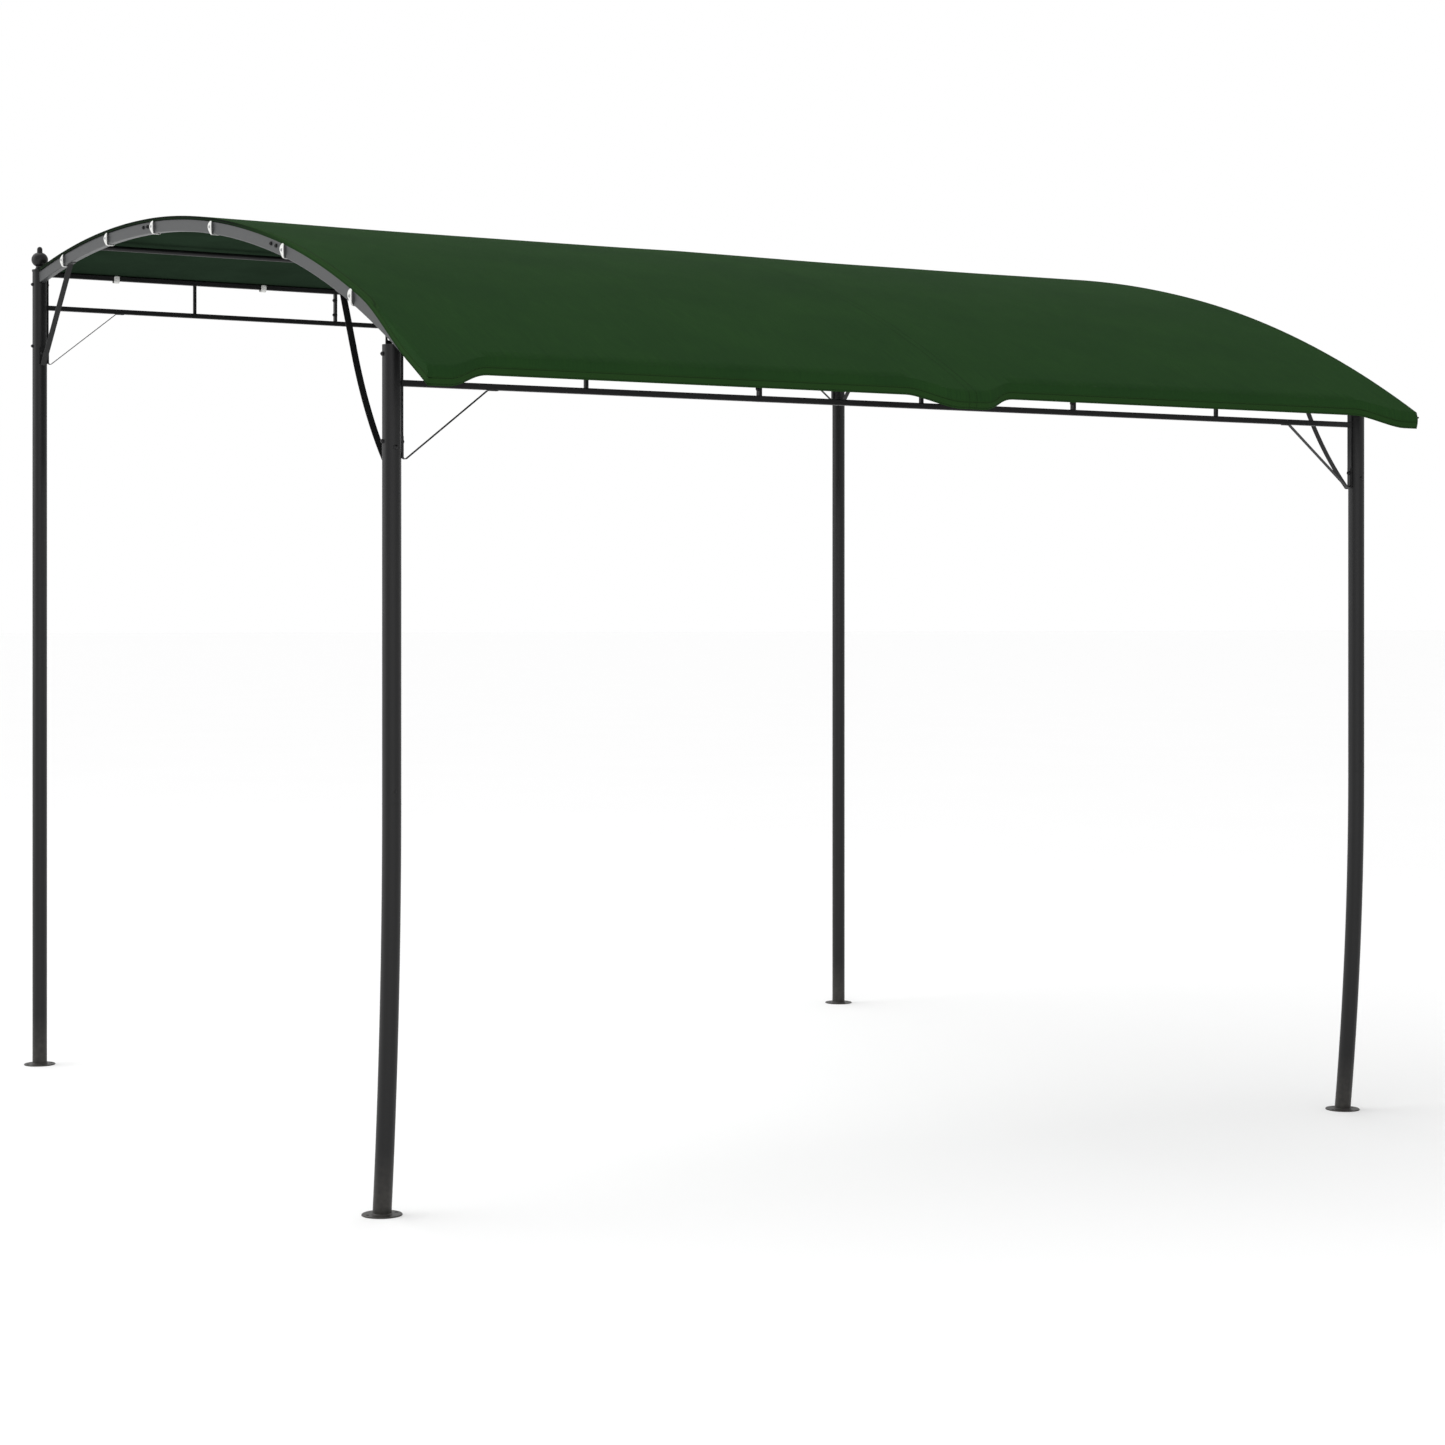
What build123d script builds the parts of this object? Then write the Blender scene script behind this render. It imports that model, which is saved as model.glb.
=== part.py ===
from build123d import *
from math import asin, cos, degrees, sin
import os

# Free-standing garden awning: two tall rear posts, two shorter bowed front posts, two bolted
# trusses, three curved arches and a taut fabric roof. Millimetres. +X runs along the front,
# -Y is the front, +Z is up, and the origin is on the ground under the middle of the whole.
# "depth" below is the distance from the rear post axis towards the front.

# ---- driving dimensions -------------------------------------------------------------------
POST_SPAN = 2976.0          # between post axes, along X
POST_DEPTH = 2755.0         # rear post axis to the straight part of the front posts
ROOF_END = 2977.0           # depth of the arches' front ends
REAR_Y = 1469.0             # Y of the rear post axis, which centres the whole on Y
POST_R = 22.5
POST_WALL = 1.2
REAR_TOP = 2498.0           # top of the rear posts
FRONT_TOP = 2044.0          # top of the front posts
REAR_JOINT = 1250.0         # height of the joint in each rear post
FRONT_JOINT = 970.0         # height of the joint in each front post, where the bow starts
FRONT_BOW = 57.0            # how far each front foot stands behind its post top
SLEEVE_R = 20.7             # inner sleeves and spigots of the posts
SLEEVE_WALL = 1.5
SLEEVE_HALF = 80.0
CAP_DEEP = 8.0              # plugs that close the front posts' tops
CAP_GAP = 0.1

PLATE_R = 48.0
PLATE_T = 3.0
PLATE_PCD = 74.0
PLATE_HOLE_R = 4.5
SPIGOT_H = 50.0

CREST_DEPTH = 731.0         # depth of the roof's highest line
CREST_TOP = 2545.4          # top of the arch tubes there
ARCH_R = (5660.0, 4833.0, 3760.0)      # top radius of the rear, middle and front sections
SPLICE_DEPTHS = (1043.0, 2036.0)       # where the arch sections meet
ARCH_DEEP = 40.0
ARCH_WIDE = 20.0
ARCH_WALL = 1.5
ARCH_CORNER = 3.0           # outer corner radius of the arch tubes
ARCH_START = 26.0           # depth of the side arches' rear ends
MID_ARCH_START = 10.0       # depth of the middle arch's rear end
ARCH_X = (-POST_SPAN / 2, 0.0, POST_SPAN / 2)
ARCH_NAMES = ("left", "mid", "right")
INSERT_LONG = 160.0
INSERT_GAP = 0.3
SPLICE_BOLT = 17.5          # splice bolts stand this far before and after each splice
PLUG_FACE = 3.0
PLUG_STEM = 18.0
TONGUE_LONG = 55.0          # bracket tongues inside the arches' rear ends
SADDLE_WIDE = 16.0
SADDLE_LONG = 4.0
SADDLE_HOLE_R = 4.0
SADDLE_BACK = 17.0          # the side saddles stand this far behind the front post axes

RAIL = 15.0
RAIL_WALL = 1.2
RAIL_CORNER = 1.8
REAR_RAILS = (2385.0, 2490.0)          # rail centre heights, lower and upper
FRONT_RAILS = (1955.0, 2038.0)
REAR_BAR_LOW = 2209.0       # lower ends of the bars that bolt to the posts
FRONT_BAR_LOW = 1779.0
BAR_T = 4.0
SPINDLE = 9.0
REAR_POST_BOLTS = (2263.0, 2457.0)
FRONT_POST_BOLTS = (1818.0, 2022.0)
REAR_JOINT_BOLTS = (2414.0, 2462.0)
FRONT_JOINT_BOLTS = (1980.0, 2012.0)
REAR_BRACE_BOLT = 2240.0    # bolts that hold the braces under the arches
FRONT_BRACE_BOLT = 1803.0

STRIP = 1.5                 # thickness of every brace strip
STRIP_GAP = 0.2             # clearance between a strip and the tube it lies on
LENGTH_BRACE_WIDE = 12.0
LENGTH_BRACE_LEG = 52.0     # how far the leg stands up along the flat bar
LENGTH_BRACE_DROP = 8.0    # how far the bend hangs below the flat bar
LENGTH_BRACE_RUN = 220.0
LENGTH_BRACE_TAIL = 26.0    # the part that lies along the rail
LENGTH_BRACE_BEND = 6.0
ARCH_BRACE_WIDE = 17.0
ARCH_BRACE_LEG = 20.0       # how far the leg stands up past its bolt
ARCH_BRACE_TAIL = 30.0      # the part that lies along the arch
ARCH_BRACE_BEND = 9.0
FRONT_BRACE_TURN = 1761.0   # height of the front brace's lower bend
FRONT_BRACE_KNEE = (2600.0, 1900.0)    # depth and height of its middle bend
FRONT_BRACE_CURVE = 980.0   # radius there
FRONT_BRACE_MEET = 2478.0   # depth where it meets the arch
REAR_BRACE_TURN = 2188.0
REAR_BRACE_MEET = 312.0

PURLIN_R = 8.0
PURLIN_DEPTHS = (505.0, 1290.0, 1790.0, 2400.0)

ROOF_T = 2.5                # fabric stand-in thickness
ROOF_GAP = 0.5              # clearance between the fabric and the arch tubes
ROOF_SIDE = 13.0            # how far the fabric reaches past each side arch's axis
ROOF_REAR = 30.0
ROOF_HEM = 2930.0           # depth of the front hem between the arches
TONGUE_END = 2986.0         # depth of the fabric tongues' front faces
TONGUE_HALF = 158.0         # half-width of the fabric tongue over each arch end
TONGUE_FLAT = 66.0          # half-width of its straight front
SIDE_FLAP = 10.0            # how far the sides fold down over the arches
FRONT_FLAP = 37.0           # how far the front edge folds down, square to the roof
POCKET_START = 2790.0       # depth where the sides deepen to the front pockets
ROOF_BACK = -6.0            # depth of the rear hem, which lies along the rear upper rail
ROOF_NOTCH = 34.0           # how far the rear strip of fabric stays from each post axis

STRAP_WIDE = 17.0
STRAP_T = 1.5
STRAP_GAP = 0.8
ARCH_STRAP_DEPTHS = (275.0, 700.0, 1109.0, 1584.0, 2109.0, 2552.0)
RAIL_STRAP_COUNT = 6
STRAP_OUTER_DROP = 8.0      # the strap legs start this far below the arch's top
STRAP_INNER_DROP = 16.0

BOLT_R = 3.0
BOLT_GAP = 0.1
HEAD_R = 5.5
HEAD_T = 3.2

os.makedirs("parts", exist_ok=True)


# ---- roof curve: three tangent arcs -------------------------------------------------------
def roof_arcs():
    """(centre depth, centre height, radius, start angle, end angle) of each section."""
    arcs = []
    depth, height = CREST_DEPTH, CREST_TOP - ARCH_R[0]
    ends = SPLICE_DEPTHS + (ROOF_END,)
    start = asin((ARCH_START - depth) / ARCH_R[0])
    for index, radius in enumerate(ARCH_R):
        end = asin((ends[index] - depth) / radius)
        arcs.append((depth, height, radius, start, end))
        if index < 2:
            shrink = radius - ARCH_R[index + 1]
            depth += shrink * sin(end)
            height += shrink * cos(end)
            start = end
    return arcs


ARCS = roof_arcs()


def arc_at(depth):
    """The section that covers a depth, and its angle there."""
    for arc in ARCS:
        angle = asin((depth - arc[0]) / arc[2])
        if angle <= arc[4] + 1e-9:
            return arc, angle
    return arc, angle


def roof_point(depth, below=0.0):
    """Depth and height of the point `below` the arch tube's top surface, square to it."""
    arc, angle = arc_at(depth)
    radius = arc[2] - below
    return arc[0] + radius * sin(angle), arc[1] + radius * cos(angle)


def place(x, depth, z):
    return Vector(x, REAR_Y - depth, z)


def band(x0, wide, arc, start, end, above, below):
    """A curved bar of rectangular section: one roof section from angle start to end."""
    def edge(radius, first, last):
        angles = (first, (first + last) / 2, last)
        points = [place(x0, arc[0] + radius * sin(a), arc[1] + radius * cos(a)) for a in angles]
        return ThreePointArc(*points)

    outer = edge(arc[2] + above, start, end)
    inner = edge(arc[2] - below, end, start)
    wire = Wire([outer, Line(outer @ 1, inner @ 0), inner, Line(inner @ 1, outer @ 0)])
    return extrude(Face(wire), amount=wide, dir=(1, 0, 0))


def rod(x, depth, z, length, axis, radius):
    """A cylinder centred on a point, along X or along Y."""
    turn = (0, 90, 0) if axis == "x" else (90, 0, 0)
    return Pos(place(x, depth, z)) * Rotation(*turn) * Cylinder(radius, length)


def bolt(x, depth, z, grip, axis):
    """A through bolt with a domed head at one end and a nut at the other."""
    turn = (0, 90, 0) if axis == "x" else (90, 0, 0)
    shank = Cylinder(BOLT_R, grip)
    head = Pos(0, 0, grip / 2) * Cone(HEAD_R, HEAD_R * 0.55, HEAD_T,
                                      align=(Align.CENTER, Align.CENTER, Align.MIN))
    nut = Pos(0, 0, -grip / 2) * extrude(RegularPolygon(HEAD_R, 6), amount=-HEAD_T * 1.3)
    return Pos(place(x, depth, z)) * Rotation(*turn) * (shank + head + nut)


def save(node, shape):
    solids = [solid for part in shape for solid in part.solids()] if isinstance(shape, list) \
        else shape.solids()
    shape = solids[0] if len(solids) == 1 else Compound(children=solids)
    shape.label = node
    export_step(shape, "parts/%s.step" % node)


# ---- posts --------------------------------------------------------------------------------
BOW_H = FRONT_JOINT
BOW_R = (BOW_H ** 2 + FRONT_BOW ** 2) / (2 * FRONT_BOW)
FOOT_TILT = degrees(asin(BOW_H / BOW_R))


def tube(radius, wall, low, high, x, depth):
    ring = Cylinder(radius, high - low) - Cylinder(radius - wall, high - low + 2)
    return Pos(place(x, depth, (low + high) / 2)) * ring


def bowed_tube(x):
    """The front post's lower part: it curves back towards the foot."""
    def lean(z):
        return POST_DEPTH - BOW_R + (BOW_R ** 2 - (FRONT_JOINT - z) ** 2) ** 0.5

    low = -20.0
    path = ThreePointArc(place(x, POST_DEPTH, FRONT_JOINT),
                         place(x, lean(FRONT_JOINT / 2), FRONT_JOINT / 2),
                         place(x, lean(low), low))
    start = Plane(origin=path @ 0, z_dir=path % 0)
    outer = sweep(start * Circle(POST_R), path=path)
    inner = sweep(start * Circle(POST_R - POST_WALL), path=path)
    under = Pos(place(x, POST_DEPTH - FRONT_BOW, PLATE_T)) * Box(
        200, 200, 100, align=(Align.CENTER, Align.CENTER, Align.MAX))
    return outer - inner - under


def drilled(post, x, depth, heights, axis):
    for z in heights:
        post -= rod(x, depth, z, POST_R * 4, axis, BOLT_R + BOLT_GAP)
    return post


def foot_plate(x, depth, tilt):
    plate = Cylinder(PLATE_R, PLATE_T, align=(Align.CENTER, Align.CENTER, Align.MIN))
    plate = chamfer(plate.faces().sort_by(Axis.Z)[-1].edges(), 0.8)
    for hole in PolarLocations(PLATE_PCD / 2, 4):
        plate -= hole * Cylinder(PLATE_HOLE_R, PLATE_T * 3)
    spigot = Cylinder(SLEEVE_R, SPIGOT_H, align=(Align.CENTER, Align.CENTER, Align.MIN))
    spigot -= Cylinder(SLEEVE_R - SLEEVE_WALL, SPIGOT_H * 3)
    spigot = Rotation(tilt, 0, 0) * (Pos(0, 0, -5) * spigot)
    above_plate = Box(4 * PLATE_R, 4 * PLATE_R, 2 * SPIGOT_H,
                      align=(Align.CENTER, Align.CENTER, Align.MIN))
    spigot &= Pos(0, 0, PLATE_T / 2) * above_plate
    return Pos(place(x, depth, 0)) * (plate + spigot)


def finial(x):
    """Collar, waist and onion-shaped bulb with a small round knob on top."""
    base = REAR_TOP
    with BuildSketch(Plane.XZ) as half:
        with BuildLine():
            Polyline((0, -30), (SLEEVE_R, -30), (SLEEVE_R, 0), (24, 0), (24, 6))
            ThreePointArc((24, 6), (15, 9), (12, 14))
            Line((12, 14), (12, 17))
            ThreePointArc((12, 17), (25.6, 39), (8.6, 60))
            Line((8.6, 60), (8.3, 70.5))
            ThreePointArc((8.3, 70.5), (5.87, 76.37), (1.5, 78.66))
            Polyline((1.5, 78.66), (0, 78.66), (0, -30))
        make_face()
    return Pos(place(x, 0, base)) * revolve(half.sketch, Axis.Z)


def post_caps():
    """A plug that closes the top of each front post and carries the arch's saddle."""
    caps = []
    for x in (-POST_SPAN / 2, POST_SPAN / 2):
        disc = Cylinder(POST_R - POST_WALL - CAP_GAP, CAP_DEEP)
        caps.append(Pos(place(x, POST_DEPTH, FRONT_TOP - CAP_DEEP / 2)) * disc)
    save("front_post_caps", caps)


def post_set(side, x):
    top_bolts = drilled(tube(POST_R, POST_WALL, REAR_JOINT, REAR_TOP, x, 0), x, 0,
                        REAR_POST_BOLTS, "x")
    save("rear_post_upper_" + side, drilled(top_bolts, x, 0, (REAR_BRACE_BOLT,), "y"))
    save("rear_post_lower_" + side, tube(POST_R, POST_WALL, PLATE_T, REAR_JOINT, x, 0))
    upper = drilled(tube(POST_R, POST_WALL, FRONT_JOINT, FRONT_TOP, x, POST_DEPTH), x, POST_DEPTH,
                    FRONT_POST_BOLTS, "x")
    save("front_post_upper_" + side, drilled(upper, x, POST_DEPTH, (FRONT_BRACE_BOLT,), "y"))
    save("front_post_lower_" + side, bowed_tube(x))
    save("rear_foot_" + side, foot_plate(x, 0, 0))
    save("front_foot_" + side, foot_plate(x, POST_DEPTH - FRONT_BOW, FOOT_TILT))
    save("finial_" + side, finial(x))


# ---- arches -------------------------------------------------------------------------------
def splice_bolt_depths(depth):
    return (depth - SPLICE_BOLT, depth + SPLICE_BOLT)


def drill_splices(shape, x, depths):
    for splice in depths:
        for depth in splice_bolt_depths(splice):
            at, height = roof_point(depth, ARCH_DEEP / 2)
            shape -= rod(x, at, height, ARCH_WIDE * 3, "x", BOLT_R + BOLT_GAP)
    return shape


def arch_section(index, x, start_depth):
    arc = ARCS[index]
    start = asin((start_depth - arc[0]) / arc[2]) if index == 0 else arc[3]
    end = arc[4]
    outer = band(x - ARCH_WIDE / 2, ARCH_WIDE, arc, start, end, 0, ARCH_DEEP)
    outer = fillet(outer.edges().filter_by(GeomType.CIRCLE), ARCH_CORNER)
    past = ARCH_DEEP / arc[2]
    inner = band(x - ARCH_WIDE / 2 + ARCH_WALL, ARCH_WIDE - 2 * ARCH_WALL, arc, start - past,
                 end + past, -ARCH_WALL, ARCH_DEEP - ARCH_WALL)
    near = {0: SPLICE_DEPTHS[:1], 1: SPLICE_DEPTHS, 2: SPLICE_DEPTHS[1:]}[index]
    return drill_splices(outer - inner, x, near)


def splice_insert(x, splice):
    """A short inner tube that joins two arch sections."""
    pieces = []
    side = ARCH_WALL + INSERT_GAP
    for index in (0, 1):
        arc = ARCS[index] if splice == SPLICE_DEPTHS[0] else ARCS[index + 1]
        turn = INSERT_LONG / 2 / arc[2]
        first, last = (arc[4] - turn, arc[4]) if index == 0 else (arc[3], arc[3] + turn)
        block = band(x - ARCH_WIDE / 2 + side, ARCH_WIDE - 2 * side, arc, first, last, -side,
                     ARCH_DEEP - side)
        pieces.append(block)
    return drill_splices(pieces[0] + pieces[1], x, (splice,))


def end_plug(x):
    """A moulded plug in the front end of an arch tube."""
    arc = ARCS[2]
    face = band(x - ARCH_WIDE / 2, ARCH_WIDE, arc, arc[4], arc[4] + PLUG_FACE / arc[2], 0,
                ARCH_DEEP)
    side = ARCH_WALL + INSERT_GAP
    stem = band(x - ARCH_WIDE / 2 + side, ARCH_WIDE - 2 * side, arc,
                arc[4] - PLUG_STEM / arc[2], arc[4] + PLUG_FACE / 2 / arc[2], -side,
                ARCH_DEEP - side)
    return face + stem


def rear_bracket(x, start_depth):
    """A tongue in the arch's rear end, and the block that carries it on the post or rail."""
    arc = ARCS[0]
    start = asin((start_depth - arc[0]) / arc[2])
    side = ARCH_WALL + INSERT_GAP
    tongue = band(x - ARCH_WIDE / 2 + side, ARCH_WIDE - 2 * side, arc, start - 0.5 / arc[2],
                  start + TONGUE_LONG / arc[2], -side, ARCH_DEEP - side)
    on_post = x != 0
    back = POST_R if on_post else RAIL / 2
    reach = POST_R / 2 if on_post else 0.0
    low = roof_point(start_depth, ARCH_DEEP)[1]
    high = REAR_TOP - 0.5
    middle = place(x, (start_depth + back - reach) / 2, (low + high) / 2)
    plate = Pos(middle) * Box(ARCH_WIDE, start_depth - back + reach, high - low)
    plate -= band(x - ARCH_WIDE, ARCH_WIDE * 2, arc, start, start + TONGUE_LONG * 1.5 / arc[2],
                  5, ARCH_DEEP + 5)
    if on_post:
        plate -= Pos(place(x, 0, (low + high) / 2)) * Cylinder(POST_R, 2 * (high - low))
    return plate + tongue


def front_saddle(x):
    """A small drilled plate that carries an arch on a front post or on the rail."""
    depth = POST_DEPTH - SADDLE_BACK if x else POST_DEPTH
    foot = FRONT_TOP if x else FRONT_RAILS[1] + RAIL / 2
    arc, angle = arc_at(depth)
    under_arch = roof_point(depth, ARCH_DEEP)[1]
    tall = under_arch + 2 * SADDLE_LONG - foot
    first, last = angle - ARCH_DEEP / arc[2], angle + ARCH_DEEP / arc[2]
    block = Pos(place(x, depth, foot + tall / 2)) * Box(SADDLE_WIDE, SADDLE_LONG, tall)
    block -= band(x - ARCH_WIDE, 2 * ARCH_WIDE, arc, first, last, ARCH_DEEP, ARCH_DEEP)
    if under_arch - foot > 4 * SADDLE_HOLE_R:
        block -= rod(x, depth, (foot + under_arch) / 2, 4 * SADDLE_LONG, "y", SADDLE_HOLE_R)
    return block


def arch_set():
    for name, x in zip(ARCH_NAMES, ARCH_X):
        start = ARCH_START if x else MID_ARCH_START
        for index, part in enumerate(("rear", "centre", "front")):
            save("arch_%s_%s" % (name, part), arch_section(index, x, start))
    save("arch_splice_inserts", [splice_insert(x, s) for x in ARCH_X for s in SPLICE_DEPTHS])
    save("arch_end_plugs", [end_plug(x) for x in ARCH_X])
    for name, x in zip(ARCH_NAMES, ARCH_X):
        save("arch_rear_bracket_" + name, rear_bracket(x, ARCH_START if x else MID_ARCH_START))
        save("arch_front_saddle_" + name, front_saddle(x))


# ---- trusses ------------------------------------------------------------------------------
INNER_FACE = POST_SPAN / 2 - POST_R
PANEL = 2 * INNER_FACE / 3


def square_tube(x0, x1, depth, z):
    long = x1 - x0
    shell = fillet(Box(long, RAIL, RAIL).edges().filter_by(Axis.X), RAIL_CORNER)
    shell -= Box(long + 2, RAIL - 2 * RAIL_WALL, RAIL - 2 * RAIL_WALL)
    return Pos(place((x0 + x1) / 2, depth, z)) * shell


def end_bar(x0, depth, low, high, bolts):
    bar = Pos(place(x0 + BAR_T / 2, depth, (low + high) / 2)) * Box(BAR_T, RAIL, high - low)
    for z in bolts:
        bar -= rod(x0, depth, z, BAR_T * 6, "x", BOLT_R + BOLT_GAP)
    return bar


def truss(panel, depth, rails, bar_low, post_bolts, joint_bolts):
    """One welded panel: two rails, a flat bar at each end and a spindle in the middle."""
    x0 = -INNER_FACE + panel * PANEL
    x1 = x0 + PANEL
    low, high = rails[0] - RAIL / 2, rails[1] + RAIL / 2
    at_left = (bar_low, post_bolts) if panel == 0 else (low, joint_bolts)
    at_right = (bar_low, post_bolts) if panel == 2 else (low, joint_bolts)
    spindle = Pos(place((x0 + x1) / 2, depth, sum(rails) / 2)) * Box(
        SPINDLE, SPINDLE, rails[1] - rails[0] - RAIL)
    members = [square_tube(x0 + BAR_T, x1 - BAR_T, depth, z) for z in rails]
    members.append(end_bar(x0, depth, at_left[0], high, at_left[1]))
    members.append(end_bar(x1 - BAR_T, depth, at_right[0], high, at_right[1]))
    return members + [spindle]


def truss_set():
    for index, name in enumerate(ARCH_NAMES):
        save("rear_truss_" + name, truss(index, 0, REAR_RAILS, REAR_BAR_LOW, REAR_POST_BOLTS,
                                         REAR_JOINT_BOLTS))
        save("front_truss_" + name, truss(index, POST_DEPTH, FRONT_RAILS, FRONT_BAR_LOW,
                                          FRONT_POST_BOLTS, FRONT_JOINT_BOLTS))


# ---- braces -------------------------------------------------------------------------------
def strip_along(path, wide, width_dir):
    section = Plane(origin=path @ 0, z_dir=path % 0, x_dir=width_dir) * Rectangle(wide, STRIP)
    return sweep(section, path=path)


def length_brace(x_side, depth, bar_low, rail_low, bolt_height):
    """Strip from the lower end of a post's flat bar up to the lower rail."""
    face = POST_SPAN / 2 - POST_R - BAR_T - STRIP / 2
    rise_to = rail_low - STRIP / 2 - STRIP_GAP
    points = [(face, bar_low + LENGTH_BRACE_LEG), (face, bar_low - LENGTH_BRACE_DROP),
              (face - LENGTH_BRACE_RUN, rise_to),
              (face - LENGTH_BRACE_RUN - LENGTH_BRACE_TAIL, rise_to)]
    path = FilletPolyline(*[place(x_side * x, depth, z) for x, z in points],
                          radius=LENGTH_BRACE_BEND)
    strip = strip_along(path, LENGTH_BRACE_WIDE, (0, 1, 0))
    return strip - rod(x_side * face, depth, bolt_height, 4 * BAR_T, "x", BOLT_R + BOLT_GAP)


def arch_brace(x, post_face, bolt_height, turn_low, meet_depth, knees):
    """Strip with a leg on the post, a bend, a rise to the arch and a tail along the arch."""
    below = ARCH_DEEP + STRIP / 2 + STRIP_GAP
    towards = -1 if post_face > meet_depth else 1
    meet = roof_point(meet_depth, below)
    tail = roof_point(meet_depth + towards * ARCH_BRACE_TAIL, below)
    points = [(post_face, bolt_height + ARCH_BRACE_LEG), (post_face, turn_low)]
    points += knees + [meet, tail]
    bends = [ARCH_BRACE_BEND] + [FRONT_BRACE_CURVE] * len(knees) + [ARCH_BRACE_BEND]
    path = FilletPolyline(*[place(x, d, z) for d, z in points], radius=bends)
    strip = strip_along(path, ARCH_BRACE_WIDE, (1, 0, 0))
    return strip - rod(x, post_face, bolt_height, 4 * BAR_T, "y", BOLT_R + BOLT_GAP)


def brace_set():
    rear_low = REAR_RAILS[0] - RAIL / 2
    front_low = FRONT_RAILS[0] - RAIL / 2
    on_post = POST_R + STRIP / 2 + STRIP_GAP
    for side, sign in (("left", -1), ("right", 1)):
        x = sign * POST_SPAN / 2
        save("rear_length_brace_" + side,
             length_brace(sign, 0, REAR_BAR_LOW, rear_low, REAR_POST_BOLTS[0]))
        save("front_length_brace_" + side,
             length_brace(sign, POST_DEPTH, FRONT_BAR_LOW, front_low, FRONT_POST_BOLTS[0]))
        save("front_arch_brace_" + side,
             arch_brace(x, POST_DEPTH - on_post, FRONT_BRACE_BOLT, FRONT_BRACE_TURN,
                        FRONT_BRACE_MEET, [FRONT_BRACE_KNEE]))
        save("rear_arch_brace_" + side,
             arch_brace(x, on_post, REAR_BRACE_BOLT, REAR_BRACE_TURN, REAR_BRACE_MEET, []))


# ---- purlins, roof and straps -------------------------------------------------------------
def purlin(side, depth):
    at, height = roof_point(depth, ARCH_DEEP / 2)
    long = POST_SPAN / 2 - ARCH_WIDE
    middle = side * (POST_SPAN / 4)
    ring = Cylinder(PURLIN_R, long) - Cylinder(PURLIN_R - 1.2, long + 2)
    return Pos(place(middle, at, height)) * Rotation(0, 90, 0) * ring


def plan(inset, rear):
    """The roof's outline from above, drawn in by `inset` at the sides and the front edge."""
    edge = POST_SPAN / 2 + ROOF_SIDE - inset
    end, hem = TONGUE_END - inset, ROOF_HEM - inset
    with BuildSketch() as outline:
        with BuildLine():
            right = [Line(place(0, end, 0), place(TONGUE_FLAT, end, 0))]
            for x0, d0, x1, d1 in ((TONGUE_FLAT, end, TONGUE_HALF, hem),
                                   (POST_SPAN / 2 - TONGUE_HALF, hem,
                                    POST_SPAN / 2 - TONGUE_FLAT, end)):
                right.append(Spline(place(x0, d0, 0), place(x1, d1, 0),
                                    tangents=((1, 0), (1, 0))))
            right.append(Line(place(TONGUE_HALF, hem, 0),
                              place(POST_SPAN / 2 - TONGUE_HALF, hem, 0)))
            right.append(Polyline(place(POST_SPAN / 2 - TONGUE_FLAT, end, 0),
                                  place(edge, end, 0), place(edge, rear, 0),
                                  place(0, rear, 0)))
            mirror(about=Plane.YZ)
        make_face()
    return extrude(outline.sketch, amount=2 * REAR_TOP)


def roof_band(first, last, above, below):
    """The space between two offsets of the roof, from one depth to another."""
    wide = 2 * (POST_SPAN / 2 + ROOF_SIDE)
    whole = None
    for index, arc in enumerate(ARCS):
        low, high = arc[0] + arc[2] * sin(arc[3]), arc[0] + arc[2] * sin(arc[4])
        if first > high or last < low:
            continue
        start = asin((first - arc[0]) / arc[2]) if index == 0 or first > low else arc[3]
        end = asin((last - arc[0]) / arc[2]) if index == 2 or last < high else arc[4]
        piece = band(-wide / 2, wide, arc, start, end, above, below)
        whole = piece if whole is None else whole + piece
    return whole


def roof():
    """One taut sheet over the three arches, folded down at the sides and along the front."""
    top = ROOF_GAP + ROOF_T
    outer = plan(0, ROOF_REAR)
    walls = outer - plan(ROOF_T, ROOF_REAR - POST_R)
    past_end = TONGUE_END + ARCH_DEEP
    sheet = roof_band(ROOF_REAR, past_end, top, -ROOF_GAP) & outer
    sheet += roof_band(ROOF_REAR, POCKET_START + 1, top, SIDE_FLAP - top) & walls
    sheet += roof_band(POCKET_START, past_end, top, FRONT_FLAP - top) & walls
    arc = ARCS[0]
    back, front = (asin((depth - arc[0]) / arc[2]) for depth in (ROOF_BACK, ROOF_REAR + 1))
    inside = POST_SPAN / 2 - ROOF_NOTCH
    return sheet + band(-inside, 2 * inside, arc, back, front, top, -ROOF_GAP)


def arch_strap(x, out, depth):
    """A webbing loop round the arch tube: down the outer face, under it and up the inside."""
    arc, angle = arc_at(depth)
    turn = STRAP_WIDE / 2 / arc[2]
    low = ARCH_DEEP + STRAP_GAP + STRAP_T
    reach = ARCH_WIDE / 2 + STRAP_GAP + STRAP_T
    loop = band(x - reach, 2 * reach, arc, angle - turn, angle + turn, -(low - STRAP_T), low)
    for side, drop in ((out, STRAP_OUTER_DROP), (-out, STRAP_INNER_DROP)):
        near = x - reach if side < 0 else x + reach - STRAP_T
        loop += band(near, STRAP_T, arc, angle - turn, angle + turn, -drop, low)
    return loop


def rail_strap(x):
    """A webbing loop round the rear upper rail, open at the top under the fabric."""
    z = REAR_RAILS[1]
    outer = RAIL + 2 * (STRAP_GAP + STRAP_T)
    inner = RAIL + 2 * STRAP_GAP
    loop = Box(STRAP_WIDE, outer, outer) - Box(STRAP_WIDE + 2, inner, inner)
    loop -= Pos(0, 0, RAIL / 2 + outer / 2) * Box(outer * 2, outer * 2, outer)
    return Pos(place(x, 0, z)) * loop


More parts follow.
